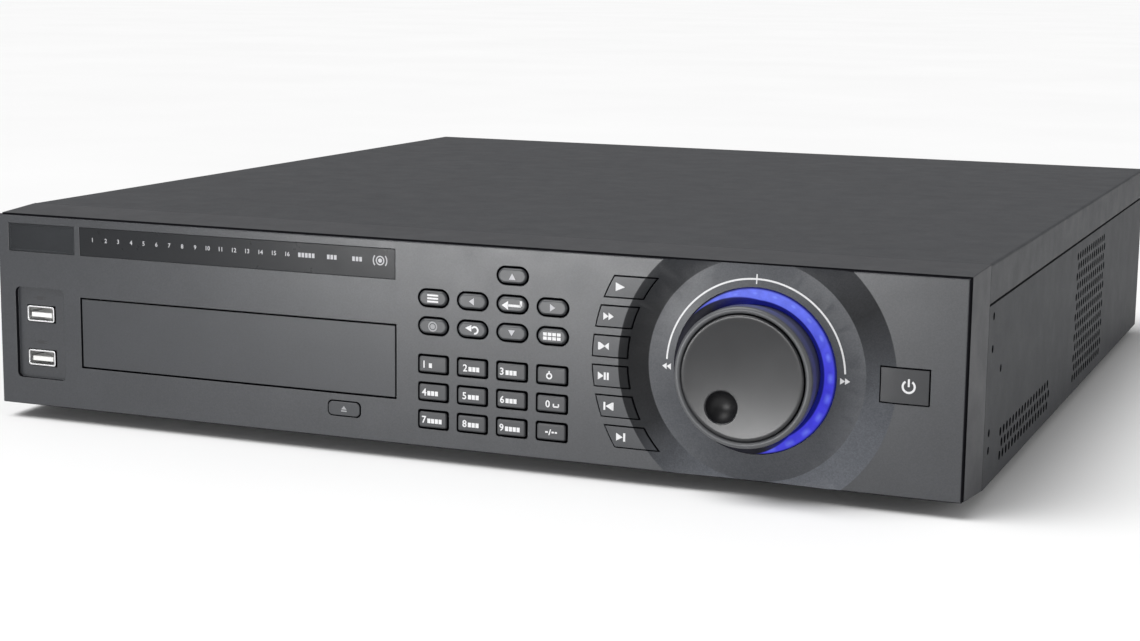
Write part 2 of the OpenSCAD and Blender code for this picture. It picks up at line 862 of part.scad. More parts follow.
// One bayonet socket: its body inside, a nut, the barrel with two lugs and the contact
module bnc_socket(at) {
    lug_y = case_d + 8;
    difference() {
        union() {
            panel_box(at, [14.5, 14.5], rear_y - 14, rear_y);
            rod_y(at, bnc_hole_r - 0.3, rear_y - 1, case_d + 1);
            rod_y(at, 7.3, case_d, case_d + 1.8);
            rod_y(at, 4.8, case_d + 1, case_d + rear_out);
            translate([at[0] - 5.4, lug_y, at[1]]) rotate([0, 90, 0]) cylinder(h = 10.8, r = 1, $fn = 32);
        }
        rod_y(at, 4.1, case_d + 3, case_d + rear_out + 1);
    }
    rod_y(at, 1.9, case_d + 2.5, case_d + rear_out - 3);
}

module bnc_sockets() {
    color("#c4c5c8") in_frame() for (x = bnc_x, z = bnc_z)
        bnc_socket([x, z]);
}

module port_shell(port, y0, y1, wall, depth) {
    at = [port[0], port_z + port[2] / 2];
    difference() {
        panel_box(at, [port[1], port[2]], y0, y1);
        panel_box(at, [port[1] - 2 * wall, port[2] - 2 * wall], y1 - depth, y1 + 1);
    }
}

module rear_ports() {
    color("#bfc1c4") in_frame() {
        // Network, monitor, serial bus and screen sockets
        port_shell(lan_box, case_d - 20, case_d + 0.6, 1.6, 12);
        port_shell(hdmi_box, case_d - 11, case_d + 0.6, 0.5, 8);
        panel_box([hdmi_box[0], port_z + hdmi_box[2] / 2], [11, 1.4], case_d - 8, case_d - 0.4);
        port_shell(rear_usb_box, case_d - 13, case_d + 0.6, 0.6, 11);
        panel_box([rear_usb_box[0], port_z + rear_usb_box[2] / 2 - 0.5], [10.8, 2],
            case_d - 11, case_d - 0.2);
        port_shell(vga_box, case_d - 11, case_d + 0.8, 0.8, 1);
        panel_box([vga_box[0], port_z + vga_box[2] / 2], [16.4, 8], case_d - 1, case_d + 5.6);
        // Sound sockets
        for (z = bnc_z)
            difference() {
                union() {
                    panel_box([rca_x, z], [12, 13], rear_y - 12, rear_y);
                    rod_y([rca_x, z], 4.9, rear_y - 1, case_d + 1);
                    rod_y([rca_x, z], rca_r, case_d, case_d + 9);
                }
                rod_y([rca_x, z], 1.7, case_d, case_d + 10);
            }
    }
}

module terminal_block() {
    poles = 15;
    pitch = 5;
    out = 9;
    centre_z = port_z + terminal_box[2] / 2;
    color("#2f8f4a") in_frame() difference() {
        panel_box([terminal_box[0], centre_z], [terminal_box[1], terminal_box[2]],
            case_d - 12, case_d + out);
        for (i = [0 : poles - 1]) {
            x = terminal_box[0] + (i - (poles - 1) / 2) * pitch;
            panel_box([x, centre_z - 1.6], [3.2, 3.4], case_d + out - 7, case_d + out + 1);
            translate([x, case_d + out - 4.5, centre_z + 3]) cylinder(h = 5, r = 1.5, $fn = 24);
        }
    }
}

module fan_frame(at) {
    hub_r = 14;
    difference() {
        panel_box(at, [fan_size, fan_size], rear_y - fan_t, rear_y);
        rod_y(at, fan_bore_r, rear_y - fan_t - 1, rear_y + 1);
        for (sx = [-1, 1], sz = [-1, 1])
            rod_y([at[0] + sx * fan_hole_pitch / 2, at[1] + sz * fan_hole_pitch / 2], 2.1,
                rear_y - fan_t - 1, rear_y + 1);
    }
    // The motor carrier and its spokes at the inner end
    difference() {
        rod_y(at, hub_r, rear_y - fan_t, rear_y - fan_t + 3);
        rod_y(at, 1.6, rear_y - fan_t - 1, rear_y - fan_t + 4);
    }
    for (angle = [45, 135])
        translate([at[0], 0, at[1]]) rotate([0, angle, 0]) difference() {
            panel_box([0, 0], [2 * fan_bore_r + 1, 3], rear_y - fan_t, rear_y - fan_t + 2.4);
            rod_y([0, 0], hub_r - 1, rear_y - fan_t - 1, rear_y - fan_t + 4);
        }
}

module fan_frames() {
    color("#202124") in_frame() for (at = fan_at)
        fan_frame(at);
}

module fan_rotor(index) {
    at = fan_at[index];
    blades = 7;
    front = rear_y - fan_t + 3.6;
    back = rear_y - 3;
    hub_r = 14;
    tip_r = fan_bore_r - 0.9;
    pitch_angle = 38;
    color("#26272a") in_frame() {
        rod_y(at, hub_r, front, back);
        rod_y(at, 1.5, rear_y - fan_t + 0.4, front + 1);
        intersection() {
            rod_y(at, tip_r, front, back);
            for (i = [0 : blades - 1])
                translate([at[0], (front + back) / 2, at[1]]) rotate([0, i * 360 / blades, 0])
                    translate([tip_r / 2 + 5, 0, 0]) rotate([pitch_angle, 0, 0])
                        cube([tip_r - 5, 1.4, 15], center = true);
        }
    }
}

// ---------- Fasteners and feet ----------

// A pan-head screw whose head lies on the face at y and whose shank goes forward
module screw_y(at, y, length, head_r) {
    rod_y(at, head_r, y, y + screw_head_h);
    rod_y(at, screw_r, y - length, y + 0.5);
}

// The same screw standing on a level, its shank going down
module screw_z(at, z, length) {
    translate([at[0], at[1], z]) {
        cylinder(h = screw_head_h, r = screw_head_r);
        translate([0, 0, -length]) cylinder(h = length + 0.5, r = screw_r);
    }
}

module screws() {
    fan_hole = fan_hole_pitch / 2;
    color("#9fa1a4") in_frame() {
        for (x = lid_screw_x)
            screw_y([x, lid_screw_z], case_d + sheet_t, 7, screw_head_r);
        for (at = fan_at, sx = [-1, 1], sz = [-1, 1])
            screw_y([at[0] + sx * fan_hole, at[1] + sz * fan_hole], case_d, 12, 3.2);
        for (sx = [-1, 1])
            screw_y([sx * corner_x, corner_z], bezel_d + sheet_t, 8, screw_head_r);
        for (at = boss_at)
            screw_y(at, board_y + board_t, 6, 2.6);
        for (at = standoff_at)
            screw_z(at, main_z + board_t, 6);
        // Under the case, up into the drive cage
        for (at = cage_screw_at)
            mirror([0, 0, 1]) screw_z(at, 0, 2 * sheet_t);
    }
}

module feet() {
    foot_r = 11;
    foot_x = 184;
    color("#1b1b1c") in_frame() for (x = [-foot_x, foot_x], y = [52, 418])
        translate([x, y, -foot_h]) difference() {
            union() {
                cylinder(h = 1.5, r1 = foot_r - 1, r2 = foot_r);
                translate([0, 0, 1.5]) cylinder(h = foot_h - 1.5, r = foot_r);
            }
            translate([0, 0, -1]) cylinder(h = 3, r = 4);
        }
}

chassis_base();
top_cover();
bezel_frame();
front_plate();
indicator_window();
badge_plate();
usb_sockets();
light_ring();
front_board();
jog_encoder();
main_board();
heatsink();
drive_cage();
hard_drives();
optical_drive();
power_supply();
mains_inlet();
switch_housing();
bnc_sockets();
rear_ports();
terminal_block();
fan_frames();
screws();
feet();
jog_disc();
shuttle_ring();
disc_tray();
tray_door();
eject_key();
power_key();
mains_rocker();
fan_rotor(0);  // left_fan_rotor
fan_rotor(1);  // right_fan_rotor
pill_key(2, 0);  // key_up
pill_key(0, 1);  // key_function
pill_key(1, 1);  // key_left
pill_key(2, 1);  // key_enter
pill_key(3, 1);  // key_right
pill_key(0, 2);  // key_record
pill_key(1, 2);  // key_escape
pill_key(2, 2);  // key_down
pill_key(3, 2);  // key_multi
digit_key(0, 0);  // digit_key_1
digit_key(1, 0);  // digit_key_2
digit_key(2, 0);  // digit_key_3
digit_key(3, 0);  // digit_key_input
digit_key(0, 1);  // digit_key_4
digit_key(1, 1);  // digit_key_5
digit_key(2, 1);  // digit_key_6
digit_key(3, 1);  // digit_key_0
digit_key(0, 2);  // digit_key_7
digit_key(1, 2);  // digit_key_8
digit_key(2, 2);  // digit_key_9
digit_key(3, 2);  // digit_key_dash
transport_key(0);  // transport_key_play
transport_key(1);  // transport_key_fast
transport_key(2);  // transport_key_slow
transport_key(3);  // transport_key_pause
transport_key(4);  // transport_key_previous
transport_key(5);  // transport_key_next
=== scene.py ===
"""The finished look of the digital video recorder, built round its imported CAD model."""

import json
import math

import bmesh
import bpy
from mathutils import Matrix, Vector


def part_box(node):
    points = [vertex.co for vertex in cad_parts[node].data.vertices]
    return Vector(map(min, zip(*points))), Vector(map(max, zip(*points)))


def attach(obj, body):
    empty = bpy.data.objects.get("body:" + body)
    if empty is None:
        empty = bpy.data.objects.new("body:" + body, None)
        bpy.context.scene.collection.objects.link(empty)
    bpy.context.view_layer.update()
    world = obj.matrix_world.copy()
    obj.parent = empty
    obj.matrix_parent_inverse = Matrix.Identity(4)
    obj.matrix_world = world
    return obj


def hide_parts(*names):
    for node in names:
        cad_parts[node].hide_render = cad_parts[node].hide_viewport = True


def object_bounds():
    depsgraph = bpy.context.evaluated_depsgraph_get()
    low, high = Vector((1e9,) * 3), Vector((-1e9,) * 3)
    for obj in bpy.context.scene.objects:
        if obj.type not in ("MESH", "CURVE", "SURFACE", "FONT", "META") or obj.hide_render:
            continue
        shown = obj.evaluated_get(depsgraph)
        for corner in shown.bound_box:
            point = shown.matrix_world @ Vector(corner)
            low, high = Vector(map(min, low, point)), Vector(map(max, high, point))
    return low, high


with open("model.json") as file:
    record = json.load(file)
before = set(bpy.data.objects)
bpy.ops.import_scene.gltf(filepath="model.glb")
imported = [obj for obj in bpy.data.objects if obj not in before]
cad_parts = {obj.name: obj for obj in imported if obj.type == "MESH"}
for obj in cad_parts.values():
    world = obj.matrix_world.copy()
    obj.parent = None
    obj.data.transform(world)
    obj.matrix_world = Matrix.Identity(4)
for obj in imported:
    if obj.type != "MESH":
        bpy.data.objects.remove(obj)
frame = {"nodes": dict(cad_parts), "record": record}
cad_lo, cad_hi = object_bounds()

MM = 0.001
NODES = frame["nodes"]
RECORD = frame["record"]
BODY_OF = {n: b for b, names in RECORD["behaviour"]["bodies"].items() for n in names}

# The dial's bowl, in mm: its valley, its outer edge and its depth
VALLEY_R = 44.0
BOWL_R = 56.3
BOWL_DEPTH = 1.5
# The bowl's outer band and raised ring beside the plate: tone and gloss. The band is a darker paint with
# painted light round its turn: lighter at the top and bottom and towards the lower right, darkest on the
# left. The raised ring is painted lighter than the plate and given less gloss, a painted sheen.
BAND_GLOSS = 0.15
BAND_TONE_AND_PAINTED_LIGHT = (0.22, 0.75, 2.5)
BAND_PAINTED_LIGHT_WAY = (0.5, 0.0, -0.87)
RING_GLOSS = 0.5
RING_PAINTED_SHEEN = 1.6
# The lit part of the ring, clockwise from the top: where it starts to narrow and where it ends; the
# narrowing is a painted shade of the shuttle's lip over its inner part
LIT_FROM = (math.radians(-56), math.radians(4))
LIT_TO = (math.radians(148), math.radians(179))
# Inner and outer edge of the light in the ring and the middle of its lamps, in mm
RING_LIT = (28.0, 32.5)
RING_LAMPS = 30.8

# Angles in radians: what counts as flat, as an edge to round and as a smooth turn
FLAT = math.radians(0.4)
EDGE = math.radians(38)
SMOOTH = math.radians(50)
WELD = 2e-6


# ---------- Node materials ----------


def new_material(name):
    mat = bpy.data.materials.new(name)
    mat.use_nodes = True
    tree = mat.node_tree
    return mat, tree, tree.nodes["Principled BSDF"]


def add(tree, kind, values=None, **options):
    """A shader node with its options, and with values or links on its inputs."""
    made = tree.nodes.new(kind)
    for key, value in options.items():
        setattr(made, key, value)
    for key, value in (values or {}).items():
        if isinstance(value, bpy.types.NodeSocket):
            tree.links.new(value, made.inputs[key])
        else:
            made.inputs[key].default_value = value
    return made


def place(tree, scale=(1, 1, 1), shift=(0, 0, 0)):
    """Object coordinates in millimetres, from a point, stretched by scale."""
    coords = add(tree, "ShaderNodeTexCoord").outputs["Object"]
    moved = add(tree, "ShaderNodeVectorMath", {0: coords, 1: shift}, operation="SUBTRACT")
    grown = add(
        tree,
        "ShaderNodeVectorMath",
        {0: moved.outputs[0], 1: tuple(s / MM for s in scale)},
        operation="MULTIPLY",
    )
    return grown.outputs[0]


def noise(tree, size, detail=3.0, rough=0.55, scale=(1, 1, 1)):
    """Noise from 0 to 1 with features of that size in millimetres."""
    made = add(
        tree,
        "ShaderNodeTexNoise",
        {"Vector": place(tree, scale), "Scale": 1 / size, "Detail": detail, "Roughness": rough},
    )
    return made.outputs["Fac"]


def spread(tree, value, low, high, start=0.3, end=0.7, shape="LINEAR"):
    """value from start to end turned into low to high."""
    made = add(
        tree,
        "ShaderNodeMapRange",
        {"Value": value, "From Min": start, "From Max": end, "To Min": low, "To Max": high},
        interpolation_type=shape,
    )
    return made.outputs["Result"]


def maths(tree, operation, *values):
    made = add(tree, "ShaderNodeMath", dict(enumerate(values)), operation=operation)
    return made.outputs[0]


def times(tree, first, second):
    return maths(tree, "MULTIPLY", first, second)


def tinted(tree, colour, factor):
    """colour times a factor from nodes."""
    made = add(
        tree,
        "ShaderNodeVectorMath",
        {0: colour if isinstance(colour, bpy.types.NodeSocket) else colour[:3], 3: factor},
        operation="SCALE",
    )
    return made.outputs[0]


def blended(tree, factor, first, second):
    made = tree.nodes.new("ShaderNodeMix")
    made.data_type = "RGBA"
    for index, value in ((0, factor), (6, first), (7, second)):
        if isinstance(value, bpy.types.NodeSocket):
            tree.links.new(value, made.inputs[index])
        elif index == 0:
            made.inputs[index].default_value = value
        else:
            made.inputs[index].default_value = (*value[:3], 1)
    return made.outputs[2]


def bumped(tree, shader, height, depth_mm):
    bump = add(tree, "ShaderNodeBump", {"Height": height, "Distance": depth_mm * MM})
    tree.links.new(bump.outputs[0], shader.inputs["Normal"])


def upward_dust(tree, amount):
    """More on faces that look up, in soft patches."""
    normal = add(tree, "ShaderNodeNewGeometry").outputs["Normal"]
    up = add(tree, "ShaderNodeSeparateXYZ", {0: normal}).outputs["Z"]
    facing = spread(tree, up, 0.0, amount, 0.6, 1.0)
    patches = spread(tree, noise(tree, 9.0, 6.0, 0.7), 0.2, 1.0)
    return times(tree, facing, patches)


def painted(
    name,
    colour,
    rough,
    specular,
    grain,
    mottle=0.05,
    uneven=0.05,
    flake=0.0,
    dust=0.0,
    bowl=False,
    underside_shade=None,
):
    """Painted metal or moulded plastic: fine grain, soft mottling, flakes, uneven gloss and dust.

    grain is the grain's size and depth in mm. A painted shade darkens the faces that look down, when
    asked for.
    """
    mat, tree, shader = new_material(name)
    factor = spread(tree, noise(tree, 26.0, 4.0), 1 - mottle, 1 + mottle)
    fine = spread(tree, noise(tree, grain[0] * 1.6, 2.0), 1 - mottle * 0.9, 1 + mottle * 0.9)
    factor = times(tree, factor, fine)
    if flake:
        cells = add(
            tree, "ShaderNodeTexVoronoi", {"Vector": place(tree), "Scale": 1 / (grain[0] * 0.9)}
        )
        bright = add(tree, "ShaderNodeSeparateColor", {0: cells.outputs["Color"]}).outputs[0]
        factor = times(tree, factor, spread(tree, bright, 1 - flake, 1 + flake, 0, 1))
    # The dial's bowl, with its painted light, shade and sheen
    if bowl:
        tone, gloss = bowl_painted_shading(tree)
        factor = times(tree, factor, tone)
    # Painted shade on the faces that look down, in their colour and their gloss
    if underside_shade:
        facing = add(tree, "ShaderNodeNewGeometry").outputs["Normal"]
        rise = add(tree, "ShaderNodeSeparateXYZ", {0: facing}).outputs["Z"]
        shade = spread(tree, rise, underside_shade, 1.0, -0.5, -0.02)
        factor = times(tree, factor, shade)
    result = tinted(tree, colour, factor)
    if dust:
        result = blended(tree, upward_dust(tree, dust), result, (0.45, 0.44, 0.42))
    tree.links.new(result, shader.inputs["Base Color"])
    patches = spread(tree, noise(tree, 14.0, 5.0, 0.65), rough - uneven, rough + uneven)
    tree.links.new(patches, shader.inputs["Roughness"])
    shader.inputs["Specular IOR Level"].default_value = specular
    if underside_shade:
        tree.links.new(
            times(tree, shade, specular), shader.inputs["Specular IOR Level"]
        )
    if bowl:
        gloss = times(tree, gloss, specular)
        tree.links.new(gloss, shader.inputs["Specular IOR Level"])
    bumped(tree, shader, noise(tree, grain[0], 2.0, 0.6), grain[1])
    return mat


def metal(name, colour, rough, streak, size, uneven, depth, mottle=0.06):
    """Bare, plated or brushed metal: streaks along the axis that streak shrinks."""
    mat, tree, shader = new_material(name)
    lines = noise(tree, size, 3.0, 0.6, streak)
    stains = noise(tree, 18.0, 6.0, 0.65)
    factor = times(
        tree,
        spread(tree, lines, 1 - mottle, 1 + mottle),
        spread(tree, stains, 1 - mottle, 1 + mottle),
    )
    tree.links.new(tinted(tree, colour, factor), shader.inputs["Base Color"])
    gloss = maths(
        tree,
        "ADD",
        spread(tree, lines, rough - uneven, rough + uneven),
        spread(tree, stains, -uneven / 2, uneven / 2),
    )
    tree.links.new(gloss, shader.inputs["Roughness"])
    shader.inputs["Metallic"].default_value = 1.0
    bumped(tree, shader, lines, depth)
    return mat


def circuit_board(name, colour):
    """Solder resist over copper tracks, with tinned pads."""
    mat, tree, shader = new_material(name)
    tracks = add(
        tree,
        "ShaderNodeTexVoronoi",
        {"Vector": place(tree, (1, 1, 0.4)), "Scale": 1 / 3.2},
        feature="DISTANCE_TO_EDGE",
    ).outputs["Distance"]
    line = spread(tree, tracks, 1.0, 0.0, 0.04, 0.09)
    base = tinted(tree, colour, spread(tree, noise(tree, 6.0), 0.85, 1.15))
    light = tuple(min(1.0, c * 1.9) for c in colour)
    result = blended(tree, line, base, light)
    dots = add(
        tree, "ShaderNodeTexVoronoi", {"Vector": place(tree), "Scale": 1 / 2.6}
    ).outputs["Distance"]
    pad = spread(tree, dots, 1.0, 0.0, 0.14, 0.17)
    result = blended(tree, pad, result, (0.55, 0.55, 0.52))
    tree.links.new(result, shader.inputs["Base Color"])
    tree.links.new(spread(tree, noise(tree, 5.0), 0.3, 0.45), shader.inputs["Roughness"])
    bumped(tree, shader, line, 0.03)
    return mat


def printed(name, colour):
    """Screen-printed ink: slightly uneven cover over a fine mesh."""
    mat, tree, shader = new_material(name)
    cover = spread(tree, noise(tree, 0.5, 3.0), 0.9, 1.04)
    tree.links.new(tinted(tree, colour, cover), shader.inputs["Base Color"])
    tree.links.new(spread(tree, noise(tree, 0.8), 0.52, 0.68), shader.inputs["Roughness"])
    bumped(tree, shader, noise(tree, 0.3), 0.004)
    return mat


def from_dial(tree):
    """The place seen from the dial's axis in the plate's plane, and the distance, both in mm."""
    flat = place(tree, (1, 0, 1), dial_at)
    distance = add(tree, "ShaderNodeVectorMath", {0: flat}, operation="LENGTH").outputs["Value"]
    return flat, distance


def bowl_painted_shading(tree):
    """The bowl's tone and gloss beside the plate's own: its outer band is a darker paint with painted
    light and shade round its turn, and the raised ring is painted lighter as a painted sheen.
    """
    flat, distance = from_dial(tree)
    soft = 0.15
    inside = spread(tree, distance, 1.0, 0.0, BOWL_R - soft, BOWL_R + soft)
    band = times(
        tree, spread(tree, distance, 0.0, 1.0, VALLEY_R - soft, VALLEY_R + soft), inside
    )
    way = add(tree, "ShaderNodeVectorMath", {0: flat}, operation="NORMALIZE").outputs["Vector"]
    axes = add(tree, "ShaderNodeSeparateXYZ", {0: way})
    # Painted light on the band: lighter at the top and bottom, and more towards the lower right
    painted_upright_light = maths(tree, "POWER", maths(tree, "ABSOLUTE", axes.outputs["Z"]), 2.0)
    lower = add(
        tree, "ShaderNodeVectorMath", {0: way, 1: BAND_PAINTED_LIGHT_WAY}, operation="DOT_PRODUCT"
    ).outputs["Value"]
    shaded = maths(tree, "ADD", BAND_TONE_AND_PAINTED_LIGHT[0], times(tree, painted_upright_light, BAND_TONE_AND_PAINTED_LIGHT[1]))
    lower = times(tree, maths(tree, "MAXIMUM", lower, 0.0), BAND_TONE_AND_PAINTED_LIGHT[2])
    shaded = maths(tree, "ADD", shaded, lower)
    # Painted sheen: the raised ring lighter than the plate, with less gloss
    ring = spread(tree, distance, RING_PAINTED_SHEEN, 1.0, VALLEY_R - soft, VALLEY_R + soft)
    ring_gloss = spread(tree, distance, RING_GLOSS, 1.0, VALLEY_R - soft, VALLEY_R + soft)
    beside = times(tree, spread(tree, band, 1.0, 0.0, 0.0, 1.0), ring)
    tone = maths(tree, "ADD", times(tree, band, shaded), beside)
    gloss = times(tree, spread(tree, band, 1.0, BAND_GLOSS, 0.0, 1.0), ring_gloss)
    return tone, gloss


def smooth_step(tree, value, start, end):
    return spread(tree, value, 0.0, 1.0, start, end, "SMOOTHSTEP")


def lit_ring(name):
    """A frosted light guide: lamps behind it every fifteenth degree; its inner edge and both ends of its
    lit part are painted dark as shade of the shuttle's lip.
    """
    mat, tree, shader = new_material(name)
    flat, distance = from_dial(tree)
    axes = add(tree, "ShaderNodeSeparateXYZ", {0: flat})
    turn = maths(tree, "ARCTAN2", axes.outputs["X"], axes.outputs["Z"])
    # The lit part's inner edge runs out to the rim towards both ends, a painted shade of the shuttle's
    # lip
    lip_shade = maths(
        tree,
        "MAXIMUM",
        spread(tree, turn, 1.0, 0.0, *LIT_FROM),
        spread(tree, turn, 0.0, 1.0, *LIT_TO),
    )
    edge = spread(tree, lip_shade, RING_LIT[0], RING_LIT[1], 0.0, 1.0)
    across = times(
        tree,
        smooth_step(tree, maths(tree, "SUBTRACT", distance, edge), 0.0, 0.7),
        spread(tree, distance, 1.0, 0.0, RING_LIT[1] - 0.5, RING_LIT[1] + 0.1),
    )
    across = times(tree, across, spread(tree, lip_shade, 1.0, 0.0, 0.9, 1.0))
    lit = spread(tree, lip_shade, 1.0, 0.0, 0.15, 0.7)
    middle = maths(tree, "ABSOLUTE", maths(tree, "SUBTRACT", distance, RING_LAMPS))
    lamps = maths(tree, "COSINE", times(tree, turn, 24.0))
    spots = times(
        tree,
        spread(tree, lamps, 0.0, 1.0, -0.3, 1.0),
        spread(tree, middle, 1.0, 0.0, 0.2, 1.5),
    )
    top = smooth_step(tree, axes.outputs["Z"], -6.0, 33.0)
    level = spread(tree, top, 0.4, 0.9, 0.0, 1.0)
    spots = maths(tree, "MAXIMUM", spots, times(tree, top, 0.7))
    spots = times(tree, spots, level)
    # Dark navy at the inner edge as painted shade, blue where lit, brighter at the lamps
    glow = blended(tree, across, (0.006, 0.008, 0.13), (0.047, 0.044, 0.62))
    glow = blended(tree, times(tree, spots, across), glow, (0.20, 0.27, 0.96))
    uneven = spread(tree, noise(tree, 3.0, 4.0), 0.88, 1.12)
    glow = tinted(tree, glow, times(tree, uneven, maths(tree, "MAXIMUM", lit, across)))
    tree.links.new(glow, shader.inputs["Emission Color"])
    shader.inputs["Emission Strength"].default_value = 1.0
    body = blended(tree, lit, (0.012, 0.012, 0.018), (0.008, 0.008, 0.030))
    tree.links.new(tinted(tree, body, uneven), shader.inputs["Base Color"])
    shader.inputs["Specular IOR Level"].default_value = 0.08
    tree.links.new(spread(tree, noise(tree, 0.7), 0.45, 0.55), shader.inputs["Roughness"])
    bumped(tree, shader, noise(tree, 0.5), 0.006)
    return mat


# ---------- Meshes ----------


def cad_copy(node):
    """A welded copy of a CAD node's mesh with its flat faces made whole."""
    bm = bmesh.new()
    bm.from_mesh(NODES[node].data)
    bmesh.ops.remove_doubles(bm, verts=bm.verts[:], dist=WELD)
    bmesh.ops.dissolve_limit(bm, angle_limit=FLAT, verts=bm.verts[:], edges=bm.edges[:])
    return bm


def turned(edge):
    return edge.calc_face_angle(0) if edge.is_manifold else 0.0


def round_edges(bm, edges, width_mm, segments):
    bmesh.ops.bevel(
        bm,
        geom=edges,
        offset=width_mm * MM,
        offset_type="OFFSET",
        segments=segments,
        profile=0.5,
        affect="EDGES",
        clamp_overlap=False,
    )


def finished(bm, name, body, materials, node=None):
    """Turns a bmesh into a piece that rides on a body and stands for a CAD node."""
    bm.normal_update()
    for edge in bm.edges:
        edge.smooth = edge.is_manifold and turned(edge) < SMOOTH
    for face in bm.faces:
        face.smooth = True
    mesh = bpy.data.meshes.new(name)
    bm.to_mesh(mesh)
    bm.free()
    for material in materials:
        mesh.materials.append(material)
    piece = bpy.data.objects.new(name, mesh)
    bpy.context.scene.collection.objects.link(piece)
    weighted = piece.modifiers.new("flat_faces", "WEIGHTED_NORMAL")
    weighted.keep_sharp = True
    weighted.weight = 100
    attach(piece, body)
    if node:
        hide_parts(node)
    return piece


def finished_node(bm, node, materials):
    """Turns a bmesh into the piece that stands for a CAD node."""
    return finished(bm, node + "_finish", BODY_OF[node], materials, node)


def refined(node, material, width_mm, segments, special=None, recolour=None):
    """A copy of a CAD node with rounded edges. special is a list of (test, width, segments)."""
    bm = cad_copy(node)
    for test, width, steps in special or []:
        bm.edges.ensure_lookup_table()
        round_edges(bm, [e for e in bm.edges if turned(e) > EDGE and test(e)], width, steps)
    small = [e for e in bm.edges if turned(e) > EDGE]
    if width_mm:
        round_edges(bm, small, width_mm, segments)
    materials = [material]
    if recolour:
        for index, (test, other) in enumerate(recolour, 1):
            materials.append(other)
            for face in bm.faces:
                if test(face):
                    face.material_index = index
    return finished_node(bm, node, materials)


def islands(node):
    """The separate solids of a CAD node, each as a list of corner points."""
    bm = bmesh.new()
    bm.from_mesh(NODES[node].data)
    bmesh.ops.remove_doubles(bm, verts=bm.verts[:], dist=WELD)
    left, found = set(bm.verts), []
    while left:
        stack, group = [left.pop()], []
        while stack:
            vert = stack.pop()
            group.append(vert.co.copy())
            for edge in vert.link_edges:
                other = edge.other_vert(vert)
                if other in left:
                    left.remove(other)
                    stack.append(other)
        found.append(group)
    bm.free()
    return sorted(found, key=lambda g: tuple(round(min(p[i] for p in g), 5) for i in range(3)))


def corners(points):
    low = Vector(min(p[i] for p in points) for i in range(3))
    high = Vector(max(p[i] for p in points) for i in range(3))
    return low, high


def circle(steps):
    """Cosine and sine at even steps round a turn."""
    angles = (2 * math.pi * i / steps for i in range(steps))
    return [(math.cos(angle), math.sin(angle)) for angle in angles]


def join(bm, first, second):
    """Faces between two loops with the same number of corners."""
    faces = []
    for i in range(len(first)):
        j = (i + 1) % len(first)
        faces.append(bm.faces.new((first[i], first[j], second[j], second[i])))
    return faces


def lathe(bm, profile, steps=256):
    """Turns a closed profile of (radius, distance out of the plate) in mm about the dial's axis."""
    rows = []
    for radius, out in profile:
        spots = [Vector((radius * c, -out, radius * s)) for c, s in circle(steps)]
        rows.append([bm.verts.new(dial_at + spot * MM) for spot in spots])
    for first, second in zip(rows, rows[1:] + rows[:1]):
        join(bm, first, second)


def rod(bm, start, end, radius, steps=20):
    """A closed round rod between two points."""
    axis = (end - start).normalized()
    turn = axis.to_track_quat("Z", "Y").to_matrix()
    offsets = [turn @ Vector((c * radius, s * radius, 0)) for c, s in circle(steps)]
    near, far = ([bm.verts.new(at + offset) for offset in offsets] for at in (start, end))
    join(bm, near, far)
    bm.faces.new(near[::-1])
    bm.faces.new(far)


# ---------- Printed marks, drawn as flat shapes in mm: +u to the right, +v up ----------


def bar(u, v, width, height, lean=0.0):
    w, h = width / 2, height / 2
    return [(u - w - lean, v - h), (u + w - lean, v - h), (u + w + lean, v + h), (u - w + lean, v + h)]


def arrow(u, v, width, height, way="right"):
    w, h = width / 2, height / 2
    shapes = {
        "right": [(-w, -h), (w, 0), (-w, h)],
        "left": [(w, h), (-w, 0), (w, -h)],
        "up": [(-w, -h), (w, -h), (0, h)],
        "down": [(-w, h), (0, -h), (w, h)],
    }
    return [(u + a, v + b) for a, b in shapes[way]]


def arc_marks(u, v, inner, outer, start=0.0, end=360.0, steps=24):
    """A ring, or part of one, as short pieces. Angles run from the right, upwards."""
    marks = []
    for i in range(steps):
        a = math.radians(start + (end - start) * i / steps)
        b = math.radians(start + (end - start) * (i + 1) / steps)
        marks.append(
            [
                (u + inner * math.cos(a), v + inner * math.sin(a)),
                (u + outer * math.cos(a), v + outer * math.sin(a)),
                (u + outer * math.cos(b), v + outer * math.sin(b)),
                (u + inner * math.cos(b), v + inner * math.sin(b)),
            ]
        )
    return marks


def dot(u, v, radius):
    return [(u + radius * c, v + radius * s) for c, s in circle(20)]


def stroke(points, width):
    """A line of that width through the points."""
    marks = []
    for (ax, ay), (bx, by) in zip(points, points[1:]):
        length = math.hypot(bx - ax, by - ay)
        nx, ny = -(by - ay) / length * width / 2, (bx - ax) / length * width / 2
        marks.append([(ax + nx, ay + ny), (ax - nx, ay - ny), (bx - nx, by - ny), (bx + nx, by + ny)])
    return marks


glyphs = {}


def digits(text, u, v, height):
    """Digits as flat shapes, with their left edge at u and their middle at v."""
    if text not in glyphs:
        curve = bpy.data.curves.new("digit_shape", "FONT")
        curve.body = text
        curve.resolution_u = 3
        curve.offset = 0.018
        holder = bpy.data.objects.new("digit_shape", curve)
        bpy.context.scene.collection.objects.link(holder)
        bpy.context.view_layer.update()
        mesh = holder.evaluated_get(bpy.context.evaluated_depsgraph_get()).to_mesh()
        glyphs[text] = [[tuple(mesh.vertices[i].co[:2]) for i in p.vertices] for p in mesh.polygons]
        bpy.data.objects.remove(holder)
        bpy.data.curves.remove(curve)
    shapes = glyphs[text]
    us = [p[0] for s in shapes for p in s]
    vs = [p[1] for s in shapes for p in s]
    scale = height / (max(vs) - min(vs))
    middle = (max(vs) + min(vs)) / 2
    return [[(u + (a - min(us)) * scale, v + (b - middle) * scale) for a, b in s] for s in shapes]


# How thick the print lies on a face, in mm
INK = 0.02


